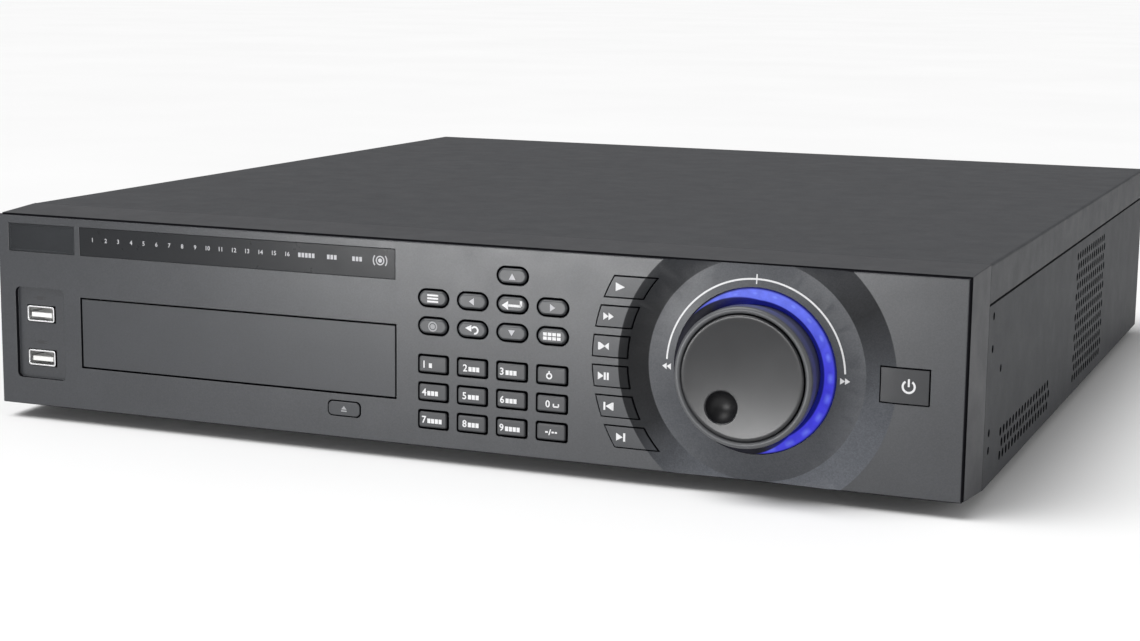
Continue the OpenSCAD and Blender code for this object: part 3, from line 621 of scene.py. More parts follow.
def stamp(bm, marks, at, material=1):
    """Adds the marks in front of a face that looks forwards, at the point on it that is their origin."""
    front = at.y - INK * MM
    for mark in marks:
        area = sum(
            a[0] * b[1] - b[0] * a[1] for a, b in zip(mark, mark[1:] + mark[:1])
        )
        ring = mark if area > 0 else mark[::-1]
        near = [bm.verts.new((at.x + u * MM, front, at.z + v * MM)) for u, v in ring]
        far = [bm.verts.new((at.x + u * MM, front + INK * MM, at.z + v * MM)) for u, v in ring]
        for face in [bm.faces.new(near)] + join(bm, far, near):
            face.material_index = material


# ---------- Places ----------

dial_lo, dial_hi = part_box("light_ring")
plate_lo, plate_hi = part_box("front_plate")
dial_at = Vector(((dial_lo.x + dial_hi.x) / 2, plate_lo.y, (dial_lo.z + dial_hi.z) / 2))

# ---------- Materials ----------

LID = (0.048, 0.050, 0.055)
PLATE = (0.035, 0.037, 0.0415)
BEZEL = (0.048, 0.0495, 0.0545)
PILL = (0.042, 0.044, 0.048)
DIGIT = (0.036, 0.0375, 0.041)

lid_paint = painted("lid_paint", LID, 0.55, 0.2, (0.6, 0.03), flake=0.10, dust=0.03)
case_paint = painted(
    "case_paint", LID, 0.60, 0.18, (0.5, 0.03), mottle=0.025, uneven=0.04, flake=0.10, dust=0.02
)
plate_paint = painted(
    "plate_paint", PLATE, 0.33, 0.5, (0.5, 0.009), mottle=0.06, uneven=0.03, flake=0.12, bowl=True
)
bezel_paint = painted("bezel_paint", BEZEL, 0.5, 0.3, (0.35, 0.014), flake=0.06, dust=0.03)
# The keys' rims that look down get painted shade
key_paint = painted(
    "key_paint", PILL, 0.36, 0.5, (0.25, 0.005), mottle=0.04, uneven=0.04, underside_shade=0.55
)
digit_paint = painted(
    "digit_paint", DIGIT, 0.36, 0.45, (0.25, 0.005), mottle=0.04, uneven=0.04, underside_shade=0.55
)
door_paint = painted(
    "door_paint", PLATE, 0.36, 0.45, (0.3, 0.006), mottle=0.04, uneven=0.03, flake=0.12
)
flush_paint = painted(
    "flush_key_paint", PLATE, 0.34, 0.42, (0.3, 0.006), mottle=0.04, uneven=0.03, flake=0.08, bowl=True
)
power_paint = painted(
    "power_key_paint", (0.030, 0.031, 0.034), 0.36, 0.3, (0.3, 0.006), mottle=0.04, uneven=0.03
)
# Near black without gloss: painted shadow in gaps, seams, grooves and hole walls, and the bare dark
# walls behind painted fronts
black_body_and_shadow = painted("black_body_and_shadow", (0.011, 0.011, 0.013), 0.7, 0.0, (0.4, 0.01), mottle=0.1)
window_look = painted(
    "smoked_window", (0.0115, 0.0125, 0.0145), 0.30, 0.22, (0.6, 0.001), mottle=0.03, uneven=0.04
)
badge_look = metal("badge_metal", (0.039, 0.041, 0.044), 0.42, (0.03, 1, 1), 0.2, 0.08, 0.004)
jog_look = painted("jog_paint", (0.010, 0.0105, 0.012), 0.25, 0.45, (0.22, 0.004), uneven=0.02)
# The finger dimple: darker than the dish as a painted shade in the hollow, and rougher
dimple_look = painted("dimple_paint", (0.007, 0.007, 0.008), 0.42, 0.35, (0.22, 0.004), uneven=0.02)
shuttle_look = painted(
    "shuttle_paint", (0.070, 0.072, 0.077), 0.36, 0.5, (0.3, 0.004), mottle=0.04, uneven=0.04
)
ring_look = lit_ring("lit_ring")
white_ink = printed("white_ink", (0.66, 0.66, 0.67))
grey_ink = printed("grey_ink", (0.44, 0.44, 0.46))
dim_ink = printed("dim_ink", (0.27, 0.275, 0.285))
dark_ink = printed("dark_ink", (0.030, 0.030, 0.033))
steel = metal("bright_steel", (0.82, 0.82, 0.83), 0.2, (0.2, 1, 1), 0.3, 0.06, 0.003)
nickel = metal("nickel_plate", (0.74, 0.72, 0.68), 0.24, (1, 1, 1), 0.4, 0.06, 0.003)
zinc = metal("zinc_sheet", (0.60, 0.61, 0.62), 0.36, (0.05, 1, 1), 0.6, 0.08, 0.006, 0.08)
cast = metal("cast_aluminium", (0.48, 0.49, 0.50), 0.48, (1, 1, 1), 0.8, 0.08, 0.02, 0.08)
extruded = metal("extruded_aluminium", (0.62, 0.63, 0.65), 0.34, (1, 0.04, 1), 0.4, 0.08, 0.006)
brass = metal("turned_brass", (0.62, 0.50, 0.26), 0.3, (1, 0.2, 1), 0.3, 0.07, 0.004)
plated_screw = metal("plated_screw", (0.56, 0.56, 0.58), 0.3, (1, 1, 1), 0.3, 0.08, 0.006)
black_plastic = painted(
    "black_plastic", (0.016, 0.016, 0.018), 0.48, 0.5, (0.35, 0.012), mottle=0.12, uneven=0.07
)
tray_plastic = painted(
    "tray_plastic", (0.030, 0.030, 0.033), 0.5, 0.45, (0.4, 0.014), mottle=0.1, uneven=0.07, dust=0.02
)
rubber = painted(
    "foot_rubber", (0.014, 0.014, 0.014), 0.78, 0.3, (0.8, 0.04), mottle=0.15, uneven=0.06, dust=0.05
)
white_plastic = painted(
    "white_plastic", (0.74, 0.74, 0.72), 0.4, 0.5, (0.5, 0.006), mottle=0.03, uneven=0.06
)
red_plastic = painted(
    "red_plastic", (0.42, 0.025, 0.02), 0.4, 0.5, (0.5, 0.006), mottle=0.06, uneven=0.06
)
green_plastic = painted(
    "green_plastic", (0.035, 0.22, 0.075), 0.42, 0.5, (0.5, 0.010), mottle=0.07, uneven=0.07
)
board_look = circuit_board("board_green", (0.020, 0.095, 0.035))

# ---------- Case ----------


# How near counts as touching the case's outside, and how long a long edge is, in metres
TOUCH = 1e-5
LONG = 0.1
bezel_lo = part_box("bezel_frame")[0]


def long_top_edge(edge):
    """True on the lid's two long edges along its sides."""
    a, b = (v.co for v in edge.verts)
    outside = min(a.z, b.z) > cad_hi.z - TOUCH and min(abs(a.x), abs(b.x)) > cad_hi.x - TOUCH
    return outside and abs(a.y - b.y) > LONG


def lip_edge(edge):
    """True on the lower edges of the lid's side lips."""
    a, b = (v.co for v in edge.verts)
    level = abs(a.z - b.z) < TOUCH and max(a.z, b.z) < cad_hi.z - 2 * MM
    return level and min(abs(a.x), abs(b.x)) > cad_hi.x - TOUCH and abs(a.y - b.y) > LONG


def lip_shadow(face):
    """True below the lid's lips, which are painted near black as the shadow of a seam along the sides.
    """
    return face.normal.z < -0.3 and abs(face.calc_center_median().x) > cad_hi.x - 2 * MM


def groove_floor(face):
    """True on the frame's front, which is the bottom of the groove behind the plate's rim and is painted
    near black as the groove's shadow.
    """
    return face.normal.y < -0.7 and face.calc_center_median().y < bezel_lo.y + 0.3 * MM


lid_edges = [(long_top_edge, 1.2, 4), (lip_edge, 0.5, 3)]
refined("top_cover", lid_paint, 0.2, 2, lid_edges, [(lip_shadow, black_body_and_shadow)])
refined("bezel_frame", bezel_paint, 0.35, 3, None, [(groove_floor, black_body_and_shadow)])


def rim_shadow_and_bare_walls(face):
    """True on the plate's rim and on its walls behind the painted face, painted near black: the rim as
    shadow in the seam beside the frame, the walls as shadow in the holes and as bare dark body.
    """
    at = face.calc_center_median()
    rim = 0.3 * MM
    inside = plate_lo.x + rim < at.x < plate_hi.x - rim and plate_lo.z + rim < at.z < plate_hi.z - rim
    return not inside or (face.normal.y > -0.5 and at.y > plate_lo.y + rim)


refined("front_plate", plate_paint, 0.2, 2, None, [(rim_shadow_and_bare_walls, black_body_and_shadow)])
refined("indicator_window", window_look, 0.15, 2)
refined("badge_plate", badge_look, 0.12, 2)


def door_edge(face):
    """True on the door's walls behind its rounded front, painted near black as shadow in the door's gap
    and as bare dark body.
    """
    return face.normal.y > -0.5 and face.calc_center_median().y > plate_lo.y + 0.5 * MM


refined("tray_door", door_paint, 0.25, 2, None, [(door_edge, black_body_and_shadow)])
refined("disc_tray", tray_plastic, 0.3, 2)
refined("feet", rubber, 0.5, 3)

# ---------- Front sockets ----------

usb_boxes = [corners(points) for points in islands("usb_sockets")]


def in_tongue(face):
    """True on the tongue, which lies well inside its shell."""
    at = face.calc_center_median()
    inset = Vector((1.5, 0.5, 1.8)) * MM
    for low, high in usb_boxes:
        first, last = low + inset, high - inset
        if first.x < at.x < last.x and first.z < at.z < last.z:
            return first.y < at.y < high.y - 0.4 * MM
    return False


refined("usb_sockets", steel, 0.1, 2, None, [(in_tongue, white_plastic)])

# ---------- Dial ----------

# The jog disc, in mm: its edge's rounding, its dish's depth and rim, its thickness and its shaft
JOG_EDGE = 0.6
JOG_DISH = 1.3
JOG_RIM = 1.2
JOG_BACK = 10.0
SHAFT_R = 3.0
# The finger dimple's place, the radius of its ball and how far in front the ball's middle lies
DIMPLE = (-8.0, -12.0)
DIMPLE_BALL = 6.6
DIMPLE_LIFT = 0.9
# The shuttle ring, in mm: its wall, the step behind its lip, its lip's depth and its hub
SHUTTLE_WALL = 2.75
SHUTTLE_STEP = 1.6
SHUTTLE_LIP = 6.5
SHUTTLE_HUB = 5.4
# The front and the back of the shuttle ring's web, ahead of the plate's face
SHUTTLE_WEB = (5.0, 3.0)


def make_jog():
    """The jog disc: a dished face with a finger dimple, a rounded edge and its shaft."""
    low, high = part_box("jog_disc")
    radius = (high.x - low.x) / 2 / MM
    length = (high.y - low.y) / MM
    dish_r = radius - JOG_RIM
    ball = (dish_r**2 + JOG_DISH**2) / (2 * JOG_DISH)
    steps, rings = 320, 110

    def depth(u, v):
        r = math.hypot(u, v)
        dish = JOG_DISH - (ball - math.sqrt(ball * ball - r * r)) if r < dish_r else 0.0
        off = math.hypot(u - DIMPLE[0], v - DIMPLE[1])
        dip = math.sqrt(max(0.0, DIMPLE_BALL**2 - off * off)) - DIMPLE_LIFT
        soft = max(0.0, 0.5 - abs(dish - dip))
        return max(dish, dip, 0.0) + (soft * soft / 2.0 if off < DIMPLE_BALL else 0.0)

    bm = bmesh.new()
    centre = bm.verts.new((dial_at.x, low.y + depth(0, 0) * MM, dial_at.z))
    rows = []
    flat_r = radius - JOG_EDGE
    profile = [(flat_r * (i + 1) / rings, None) for i in range(rings)]
    for i in range(1, 7):
        angle = math.pi / 2 * i / 6
        profile.append((flat_r + JOG_EDGE * math.sin(angle), JOG_EDGE * (1 - math.cos(angle))))
    profile += [(radius, JOG_BACK), (SHAFT_R, JOG_BACK), (SHAFT_R, length)]
    for r, fixed in profile:
        row = []
        for c, s in circle(steps):
            u, v = r * c, r * s
            back = depth(u, v) if fixed is None else fixed
            row.append(bm.verts.new((dial_at.x + u * MM, low.y + back * MM, dial_at.z + v * MM)))
        rows.append(row)
    for i in range(steps):
        bm.faces.new((centre, rows[0][i], rows[0][(i + 1) % steps]))
    for first, second in zip(rows, rows[1:]):
        join(bm, first, second)
    bm.faces.new(rows[-1][::-1])
    # The dimple's faces get the darker paint, a painted shade in the hollow
    for face in bm.faces:
        at = (face.calc_center_median() - dial_at) / MM
        off = math.hypot(at.x - DIMPLE[0], at.z - DIMPLE[1])
        deep = at.y + (dial_at.y - low.y) / MM
        if off < DIMPLE_BALL and JOG_DISH + 0.1 < deep < DIMPLE_BALL:
            face.material_index = 1
    bmesh.ops.recalc_face_normals(bm, faces=bm.faces[:])
    finished_node(bm, "jog_disc", [jog_look, dimple_look])


def make_shuttle():
    """The shuttle ring: a thick lip with a round rim, a thinner wall behind it and its web."""
    low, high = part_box("shuttle_ring")
    outer = (high.x - low.x) / 2 / MM
    front = (plate_lo.y - low.y) / MM
    back = (plate_lo.y - high.y) / MM
    inner, neck = outer - SHUTTLE_WALL, outer - SHUTTLE_STEP
    lip_back, chamfer = front - SHUTTLE_LIP, 0.2
    rim = SHUTTLE_WALL / 2
    profile = [(SHUTTLE_HUB, SHUTTLE_WEB[1]), (inner, SHUTTLE_WEB[1]), (inner, back), (neck, back)]
    profile += [(neck, lip_back), (outer - chamfer, lip_back), (outer, lip_back + chamfer)]
    for i in range(13):
        angle = math.pi * i / 12
        profile.append((outer - rim + rim * math.cos(angle), front - rim + rim * math.sin(angle)))
    profile += [(inner, SHUTTLE_WEB[0]), (SHUTTLE_HUB, SHUTTLE_WEB[0])]
    bm = bmesh.new()
    lathe(bm, profile)
    bmesh.ops.recalc_face_normals(bm, faces=bm.faces[:])
    finished_node(bm, "shuttle_ring", [shuttle_look])


def make_light_ring():
    """The light guide: a crowned ring on a disc with three posts."""
    low, high = dial_lo, dial_hi
    outer = (high.x - low.x) / 2 / MM
    front = (plate_lo.y - low.y) / MM
    inner, hub, base = 27.5, 8.0, 0.2
    disc = (-4.4, -2.6)
    middle, half = (outer + inner) / 2, (outer - inner) / 2
    profile = [(hub, disc[0]), (outer, disc[0])]
    for i in range(17):
        angle = math.pi * i / 16
        profile.append((middle + half * math.cos(angle), base + (front - base) * math.sin(angle)))
    profile += [(inner, disc[1]), (hub, disc[1])]
    bm = bmesh.new()
    lathe(bm, profile)
    post_at, post_r = 20, 2
    for degrees in (30, 150, 270):
        angle = math.radians(degrees)
        out = Vector((post_at * math.cos(angle), -disc[0] - 0.2, post_at * math.sin(angle)))
        start = dial_at + out * MM
        rod(bm, start, Vector((start.x, high.y, start.z)), post_r * MM)
    bmesh.ops.recalc_face_normals(bm, faces=bm.faces[:])
    finished_node(bm, "light_ring", [ring_look])


make_jog()
make_shuttle()
make_light_ring()


def make_dial_scale():
    """The printed scale: an arc with a tick at its top and double arrows at its ends."""
    arc_r, arc_w, lift, tick_h = 36.1, 0.7, 0.03, 1.9
    ring_r = (dial_hi.x - dial_lo.x) / 2 / MM
    bm = bmesh.new()

    def on_bowl(r, angle):
        sunk = BOWL_DEPTH * (r - ring_r) / (VALLEY_R - ring_r)
        return Vector((r * math.cos(angle), sunk - lift, r * math.sin(angle))) * MM + dial_at

    def patch(points):
        near = [bm.verts.new(p) for p in points]
        far = [bm.verts.new(p + Vector((0, INK * MM, 0))) for p in points]
        bm.faces.new(near)
        bm.faces.new(far[::-1])
        join(bm, far, near)

    steps, start, end = 96, math.radians(3), math.radians(177)
    for i in range(steps):
        a = start + (end - start) * i / steps
        b = start + (end - start) * (i + 1) / steps
        inner, outer = arc_r - arc_w / 2, arc_r + arc_w / 2
        patch([on_bowl(inner, a), on_bowl(outer, a), on_bowl(outer, b), on_bowl(inner, b)])
    tick = [(-0.25, -tick_h), (0.25, -tick_h), (0.25, tick_h), (-0.25, tick_h)]
    patch([on_bowl(arc_r + v, math.pi / 2 + u / (arc_r + v)) for u, v in tick])
    for angle, way in ((math.radians(-1.5), 1), (math.radians(181.5), -1)):
        for shift in (-0.95, 0.95):
            centre = on_bowl(arc_r, angle) - dial_at
            u, v = centre.x / MM + shift * way, centre.z / MM
            points = []
            for du, dv in ((-0.95 * way, -1.3), (0.95 * way, 0.0), (-0.95 * way, 1.3)):
                r = math.hypot(u + du, v + dv)
                points.append(on_bowl(r, math.atan2(v + dv, u + du)))
            patch(points)
    bmesh.ops.recalc_face_normals(bm, faces=bm.faces[:])
    finished(bm, "dial_scale_print", "case", [white_ink])


make_dial_scale()

# ---------- Keys ----------

# How far the rims of the keys are rounded, in mm
PILL_ROUND = 0.95
DIGIT_ROUND = 0.7
FLUSH_ROUND = 0.16
EJECT_ROUND = 0.3


def tick_row(u, count):
    """Small blocks beside a digit, in place of its letters."""
    return [bar(u + i * 1.72 + 0.7, -0.4, 1.4, 1.9) for i in range(count)]


def window_grid():
    marks = []
    for column in range(4):
        for row in (-1, 1):
            marks.append(bar((column - 1.5) * 2.0, row * 0.85, 1.6, 1.3))
    return marks


PILL_MARKS = {
    "key_up": ([arrow(0.1, -0.2, 2.9, 2.6, "up")], grey_ink),
    "key_left": ([arrow(-0.2, 0, 2.2, 3.0, "left")], grey_ink),
    "key_right": ([arrow(0.2, 0, 2.2, 3.0, "right")], grey_ink),
    "key_down": ([arrow(0, 0, 2.9, 2.4, "down")], grey_ink),
    "key_function": ([bar(0, v, 5.0, 0.75) for v in (-1.3, 0, 1.3)], white_ink),
    "key_enter": (
        stroke([(4.1, 1.7), (4.1, -0.4), (-1.8, -0.4)], 1.0) + [arrow(-3.0, -0.4, 2.8, 3.6, "left")],
        white_ink,
    ),
    "key_record": ([dot(0, 0, 1.1)] + arc_marks(0, 0, 1.5, 2.1), dim_ink),
    "key_escape": (
        arc_marks(1.3, -0.1, 1.0, 1.75, -100, 150, 16) + [arrow(-1.6, 0.6, 2.8, 2.8, "left")],
        white_ink,
    ),
    "key_multi": (window_grid(), white_ink),
}

# A digit key's digit, the blocks beside it and where they start
DIGIT_MARKS = {
    "1": (1, -4.2),
    "2": (3, -3.9),
    "3": (3, -5.0),
    "4": (3, -4.9),
    "5": (3, -4.1),
    "6": (3, -4.9),
    "7": (4, -4.9),
    "8": (3, -4.1),
    "9": (4, -5.1),
}

TRANSPORT_MARKS = {
    "play": [arrow(0, 0, 3.9, 3.5)],
    "fast": [arrow(-1.1, 0, 2.2, 3.0), arrow(1.1, 0, 2.2, 3.0)],
    "slow": [bar(-1.7, 0, 0.8, 3.0), arrow(-0.2, 0, 2.2, 3.0), arrow(1.5, 0, 2.0, 3.0, "left")],
    "pause": [arrow(-1.0, 0, 2.4, 3.2), bar(0.75, 0, 0.85, 3.0), bar(2.05, 0, 0.85, 3.0)],
    "previous": [bar(-1.8, 0, 0.8, 3.2), arrow(0.1, 0, 2.8, 3.2, "left"), bar(1.75, 0, 0.7, 3.2)],
    "next": [arrow(-0.5, 0, 2.8, 3.2), bar(1.55, 0, 0.9, 3.4)],
}


def key_piece(node, material, rounding, marks, ink, segments=4, origin=None):
    """A key with a rounded front rim, near-black walls behind the plate's face as painted shadow in its
    gap and as bare dark body, and its printed mark.

    origin is the x and z of the marks' origin, which is the cap's middle if it isn't given.
    """
    bm = cad_copy(node)
    low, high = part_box(node)
    origin = origin or cap_centre(node)
    reach = low.y + 2.6 * MM

    def on_rim(edge):
        return turned(edge) > EDGE and max(v.co.y for v in edge.verts) < reach

    round_edges(bm, [e for e in bm.edges if on_rim(e)], rounding, segments)
    sunk = max(plate_lo.y + 0.15 * MM, low.y + 1.0 * MM)
    # Walls behind the plate's face: painted shadow in the gap round the key
    for face in bm.faces:
        if face.calc_center_median().y > sunk:
            face.material_index = 2
    stamp(bm, marks, Vector((origin[0], low.y, origin[1])))
    return finished_node(bm, node, [material, ink, black_body_and_shadow])


def cap_centre(node):
    """The middle of a key seen from the front: x and z."""
    low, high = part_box(node)
    return ((low.x + high.x) / 2, (low.z + high.z) / 2)


for node, (marks, ink) in PILL_MARKS.items():
    key_piece(node, key_paint, PILL_ROUND, marks, ink)

for digit, (count, start) in DIGIT_MARKS.items():
    node = "digit_key_" + digit
    marks = digits(digit, start, 0, 3.0) + tick_row(start + 2.5, count)
    key_piece(node, digit_paint, DIGIT_ROUND, marks, white_ink, 3)

LAST_ROW = {
    "0": digits("0", -2.5, 0, 3.0) + stroke([(1.0, 0.2), (1.0, -1.0), (3.2, -1.0), (3.2, 0.2)], 0.6),
    "input": arc_marks(-1.0, -0.2, 0.75, 1.35, 0, 360, 20) + [bar(-1.0, 1.45, 0.6, 0.8)],
    "dash": [bar(-1.9, 0, 1.2, 0.7), bar(-0.5, 0, 0.5, 2.4, 0.35)]
    + [bar(u, 0, 1.0, 0.7) for u in (0.8, 2.2)],
}
for name, marks in LAST_ROW.items():
    key_piece("digit_key_" + name, digit_paint, DIGIT_ROUND, marks, white_ink, 3)

# The transport marks stand on a circle about the dial
TRANSPORT_MARK_R = 63.0
for name, marks in TRANSPORT_MARKS.items():
    node = "transport_key_" + name
    middle = cap_centre(node)
    rise = (middle[1] - dial_at.z) / MM
    aside = math.sqrt(TRANSPORT_MARK_R**2 - rise**2)
    origin = (dial_at.x - aside * MM, middle[1])
    key_piece(node, flush_paint, FLUSH_ROUND, marks, white_ink, 2, origin)

power_marks = arc_marks(1.6, 0, 1.9, 2.7, 125, 415, 30) + [bar(1.6, 1.45, 0.75, 3.0)]
key_piece("power_key", power_paint, FLUSH_ROUND, power_marks, white_ink, 2)
eject_marks = [arrow(0, 0.45, 2.6, 1.5, "up"), bar(0, -0.95, 2.6, 0.55)]
key_piece("eject_key", flush_paint, EJECT_ROUND, eject_marks, dim_ink, 3)

# ---------- Window marks ----------


def make_window_marks():
    """Channel numbers, three status marks and a receiver mark along the window."""
    low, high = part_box("indicator_window")
    middle = Vector(((low.x + high.x) / 2, low.y, (low.z + high.z) / 2))
    width = (high.x - low.x) / MM
    first, pitch, lift = -width / 2 + 7.0, 6.5, 1.1
    bm = bmesh.new()
    marks = []
    for i in range(16):
        half = 0.55 if i < 9 else 1.15
        marks += digits(str(i + 1), first + i * pitch - half, lift, 1.9)
    for middle_u, count in ((113.4, 5), (125.5, 3), (137.4, 3)):
        for k in range(count):
            marks.append(bar(-width / 2 + middle_u + (k - (count - 1) / 2) * 1.65, lift, 1.2, 1.9))
    eye = -width / 2 + 148.1
    marks += arc_marks(eye, lift, 1.5, 2.0, 0, 360, 24) + [dot(eye, lift, 0.9)]
    for side in (0, 180):
        marks += arc_marks(eye, lift, 2.9, 3.4, side - 40, side + 40, 8)
    stamp(bm, marks, middle, 0)
    finished(bm, "window_marks_print", "case", [grey_ink])


make_window_marks()


def make_socket_marks():
    """A small plug mark over each front socket."""
    bm = bmesh.new()
    recess = plate_lo.y + 2.0 * MM
    for low, high in usb_boxes:
        at = Vector(((low.x + high.x) / 2, recess, high.z + 3.6 * MM))
        marks = [bar(-0.6, 0, 3.4, 1.7), bar(1.9, 0.45, 1.4, 0.4), bar(1.9, -0.45, 1.4, 0.4)]
        stamp(bm, marks + [bar(-3.2, 0, 1.8, 0.5)], at, 0)
    finished(bm, "socket_marks_print", "case", [dark_ink])


make_socket_marks()

# ---------- Rear ----------

refined("mains_inlet", black_plastic, 0.3, 2)
refined("switch_housing", black_plastic, 0.3, 2)
refined("mains_rocker", black_plastic, 0.25, 3)
refined("terminal_block", green_plastic, 0.12, 2)
port_boxes = [corners(points) for points in islands("rear_ports")]
farthest = max(high.y for _, high in port_boxes) - 1 * MM
phono_boxes = sorted((b for b in port_boxes if b[1].y > farthest), key=lambda b: b[0].z)


# How far a phono socket's bare barrel stands out of its collar, in mm
BARREL = 7.8


def on_phono(index):
    """A test for the collar of a phono socket, counted from below."""
    low, high = phono_boxes[index]

    def test(face):
        at = face.calc_center_median()
        return low.x < at.x < high.x and low.z < at.z < high.z and at.y < high.y - BARREL * MM

    return test


phono_paints = [(on_phono(0), red_plastic), (on_phono(1), white_plastic)]
refined("rear_ports", nickel, 0.1, 2, None, phono_paints)
refined("fan_frames", black_plastic, 0.25, 2)
refined("left_fan_rotor", black_plastic, 0.12, 1)
refined("right_fan_rotor", black_plastic, 0.12, 1)

bnc_boxes = [corners(points) for points in islands("bnc_sockets")]


def in_core(face):
    """True on the insulator that stands in a barrel."""
    at = face.calc_center_median()
    for low, high in bnc_boxes:
        off = math.hypot(at.x - (low.x + high.x) / 2, at.z - (low.z + high.z) / 2)
        if off < 2.2 * MM:
            return at.y > high.y - 12 * MM
    return False


refined("bnc_sockets", nickel, 0.12, 2, None, [(in_core, white_plastic)])


def make_screws():
    """Pan-head screws with a cross recess, each where its CAD screw is."""
    bm = bmesh.new()
    for points in islands("screws"):
        low, high = corners(points)
        size = high - low
        axis = max(range(3), key=lambda i: size[i])
        if min(size) == size[axis]:
            axis = 1
        centre = (low + high) / 2
        others = [i for i in range(3) if i != axis]

        def reach(end):
            near = [p for p in points if abs(p[axis] - end) < 0.2 * MM]
            return max(math.hypot(*(p[i] - centre[i] for i in others)) for p in near)

        way = 1 if reach(high[axis]) > reach(low[axis]) else -1
        out = Vector((0, 0, 0))
        out[axis] = way
        radius, height = max(reach(high[axis]), reach(low[axis])), 1.8 * MM
        tip = centre.copy()
        tip[axis] = low[axis] if way > 0 else high[axis]
        top = centre.copy()
        top[axis] = high[axis] if way > 0 else low[axis]
        shank = min(reach(high[axis]), reach(low[axis]))
        base = top - out * height
        rod(bm, tip, base + out * 0.2 * MM, shank, 16)
        turn = out.to_track_quat("Z", "Y").to_matrix().to_4x4()
        screw_head(bm, Matrix.Translation(base) @ turn, radius, height)
    finished_node(bm, "screws", [plated_screw])


def screw_head(bm, matrix, radius, height):
    """A domed head on the plane z = 0 with a cross recess in its top."""
    profile = [(0.5, 0.0), (1.0, 0.0), (1.0, 0.45), (0.96, 0.7), (0.84, 0.9), (0.66, 1.0)]
    rings = []
    for r, z in profile:
        spots = [Vector((r * radius * c, r * radius * s, z * height)) for c, s in circle(24)]
        rings.append([bm.verts.new(matrix @ spot) for spot in spots])
    for first, second in zip(rings, rings[1:]):
        join(bm, first, second)
    bm.faces.new(rings[0][::-1])
    arm, half = 0.52 * radius, 0.13 * radius
    cross = []
    for quarter in range(4):
        angle = math.pi / 2 * quarter
        for u, v in ((arm, -half), (arm, half), (half, half)):
            c, s = math.cos(angle), math.sin(angle)
            cross.append((u * c - v * s, u * s + v * c))
    loops = []
    for z in (height, height * 0.45):
        loops.append([bm.verts.new(matrix @ Vector((u, v, z))) for u, v in cross])
    join(bm, loops[1], loops[0])
    bm.faces.new(loops[1])
    edges = []
    for ring in (rings[-1], loops[0]):
        for i in range(len(ring)):
            edges.append(bm.edges.get((ring[i], ring[(i + 1) % len(ring)])))
    bmesh.ops.triangle_fill(bm, use_beauty=True, use_dissolve=False, edges=edges)


make_screws()

# ---------- CAD nodes that keep their shape ----------

KEPT = {
    "chassis_base": case_paint,
    "front_board": board_look,
    "main_board": board_look,
    "jog_encoder": brass,
    "heatsink": extruded,
    "drive_cage": zinc,
    "hard_drives": cast,
    "optical_drive": zinc,
    "power_supply": zinc,
}
for node, material in KEPT.items():
    mesh = NODES[node].data
    mesh.materials.clear()
    mesh.materials.append(material)

# The side vents' hole walls are painted near black as their shadow
HOLE_FACET = 2e-6
case_mesh = NODES["chassis_base"].data
case_mesh.materials.append(black_body_and_shadow)
for polygon in case_mesh.polygons:
    on_side = abs(polygon.center.x) > cad_hi.x - 1.4 * MM and abs(polygon.normal.x) < 0.5
    if on_side and polygon.area < HOLE_FACET:
        polygon.material_index = 1

# ---------- Floor, light and camera ----------


def make_floor():
    floor_mat, tree, shader = new_material("pale_floor")
    tone = spread(tree, noise(tree, 400.0, 3.0), 0.985, 1.015)
    tree.links.new(tinted(tree, (0.93, 0.93, 0.93), tone), shader.inputs["Base Color"])
    shader.inputs["Roughness"].default_value = 0.9
    shader.inputs["Specular IOR Level"].default_value = 0.1
    bm = bmesh.new()
    bmesh.ops.create_grid(bm, x_segments=8, y_segments=8, size=30.0)
    mesh = bpy.data.meshes.new("floor")
    bm.to_mesh(mesh)
    bm.free()
    mesh.materials.append(floor_mat)
    floor = bpy.data.objects.new("floor", mesh)
    bpy.context.scene.collection.objects.link(floor)


def direction(azimuth, elevation):
    """Away from the object, in degrees: azimuth 0 is in front, + to the right."""
    a, e = math.radians(azimuth), math.radians(elevation)
    return Vector((math.sin(a) * math.cos(e), -math.cos(a) * math.cos(e), math.sin(e)))


def hang_lamp(name, data, location, back):
    """Puts a lamp in its place, shining against the direction back."""
    lamp = bpy.data.objects.new(name, data)
    lamp.location = location
    lamp.rotation_mode = "QUATERNION"
    lamp.rotation_quaternion = (-back).to_track_quat("-Z", "Y")
    bpy.context.scene.collection.objects.link(lamp)


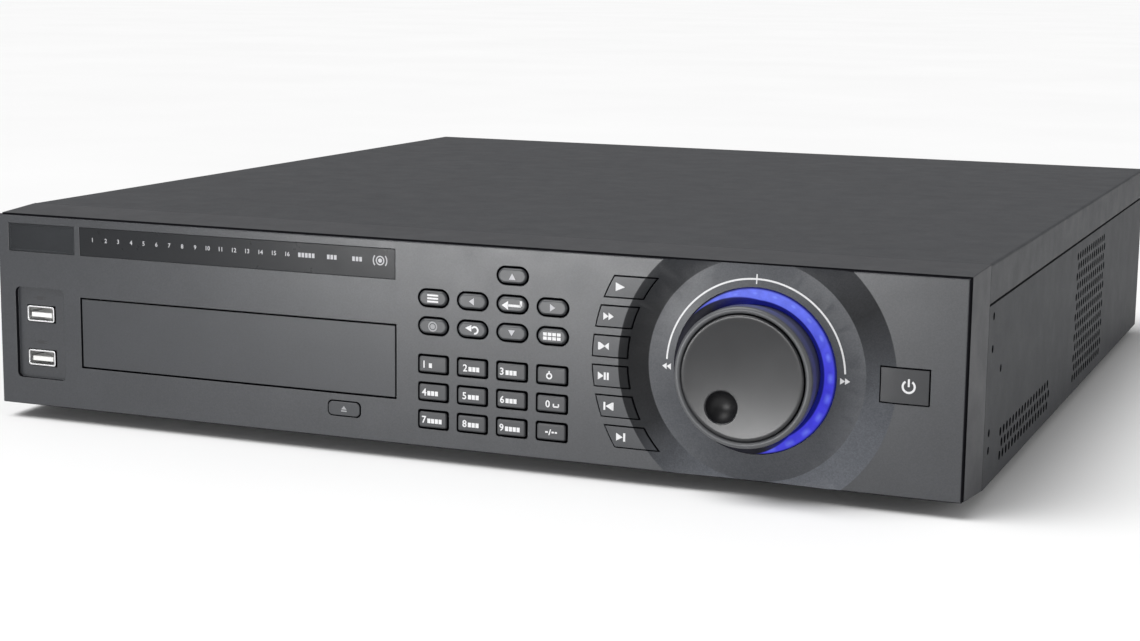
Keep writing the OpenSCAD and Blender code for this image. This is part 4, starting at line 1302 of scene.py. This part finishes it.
def soft_light(name, azimuth, elevation, distance, width, height, power, target):
    """A rectangle of light in a direction from the target."""
    data = bpy.data.lights.new(name, "AREA")
    data.shape = "RECTANGLE"
    data.size, data.size_y, data.energy = width, height, power
    back = direction(azimuth, elevation)
    hang_lamp(name, data, target + back * distance, back)


def sky_light(name, azimuth, elevation, strength, spread_degrees):
    """A wide, even light from far above."""
    data = bpy.data.lights.new(name, "SUN")
    data.energy, data.angle = strength, math.radians(spread_degrees)
    hang_lamp(name, data, Vector((0, 0, 0)), direction(azimuth, elevation))


# The camera's place in metres, its direction and roll in degrees, its lens and sensor in mm
CAMERA_AT = (0.37549, -1.00121, 0.20579)
CAMERA_AZ, CAMERA_EL, CAMERA_ROLL = 22.314, 9.595, 0.683
CAMERA_LENS, SENSOR = 66.926, 36.0


def make_camera():
    r = math.radians(CAMERA_ROLL)
    back = direction(CAMERA_AZ, CAMERA_EL)
    right = (-back).cross(Vector((0, 0, 1))).normalized()
    up = right.cross(-back)
    tilted_right = right * math.cos(r) + up * math.sin(r)
    tilted_up = up * math.cos(r) - right * math.sin(r)
    data = bpy.data.cameras.new("camera")
    data.lens, data.sensor_width, data.sensor_fit = CAMERA_LENS, SENSOR, "HORIZONTAL"
    data.clip_start, data.clip_end = 0.01, 100
    camera = bpy.data.objects.new("camera", data)
    turn = Matrix((tilted_right, tilted_up, back)).transposed()
    camera.matrix_world = Matrix.Translation(CAMERA_AT) @ turn.to_4x4()
    bpy.context.scene.collection.objects.link(camera)
    bpy.context.scene.camera = camera


make_floor()
world = bpy.data.worlds.new("studio")
world.use_nodes = True
world.node_tree.nodes["Background"].inputs["Color"].default_value = (1.0, 1.0, 1.0, 1.0)
world.node_tree.nodes["Background"].inputs["Strength"].default_value = 0.32
bpy.context.scene.world = world
# A low strip of light to the left of the camera, whose reflection lies over the plate's middle
soft_light("strip_light", -22.5, -4.1, 0.643, 0.40, 0.06, 2.0, Vector((0.095, plate_lo.y, 0.09)))
soft_light("side_light", 78, 18, 1.3, 0.8, 0.6, 2.5, Vector((cad_hi.x, 0, 0.05)))
sky_light("sky_light", -50, 62, 2.6, 45)
bpy.context.scene.view_settings.view_transform = "Standard"
make_camera()
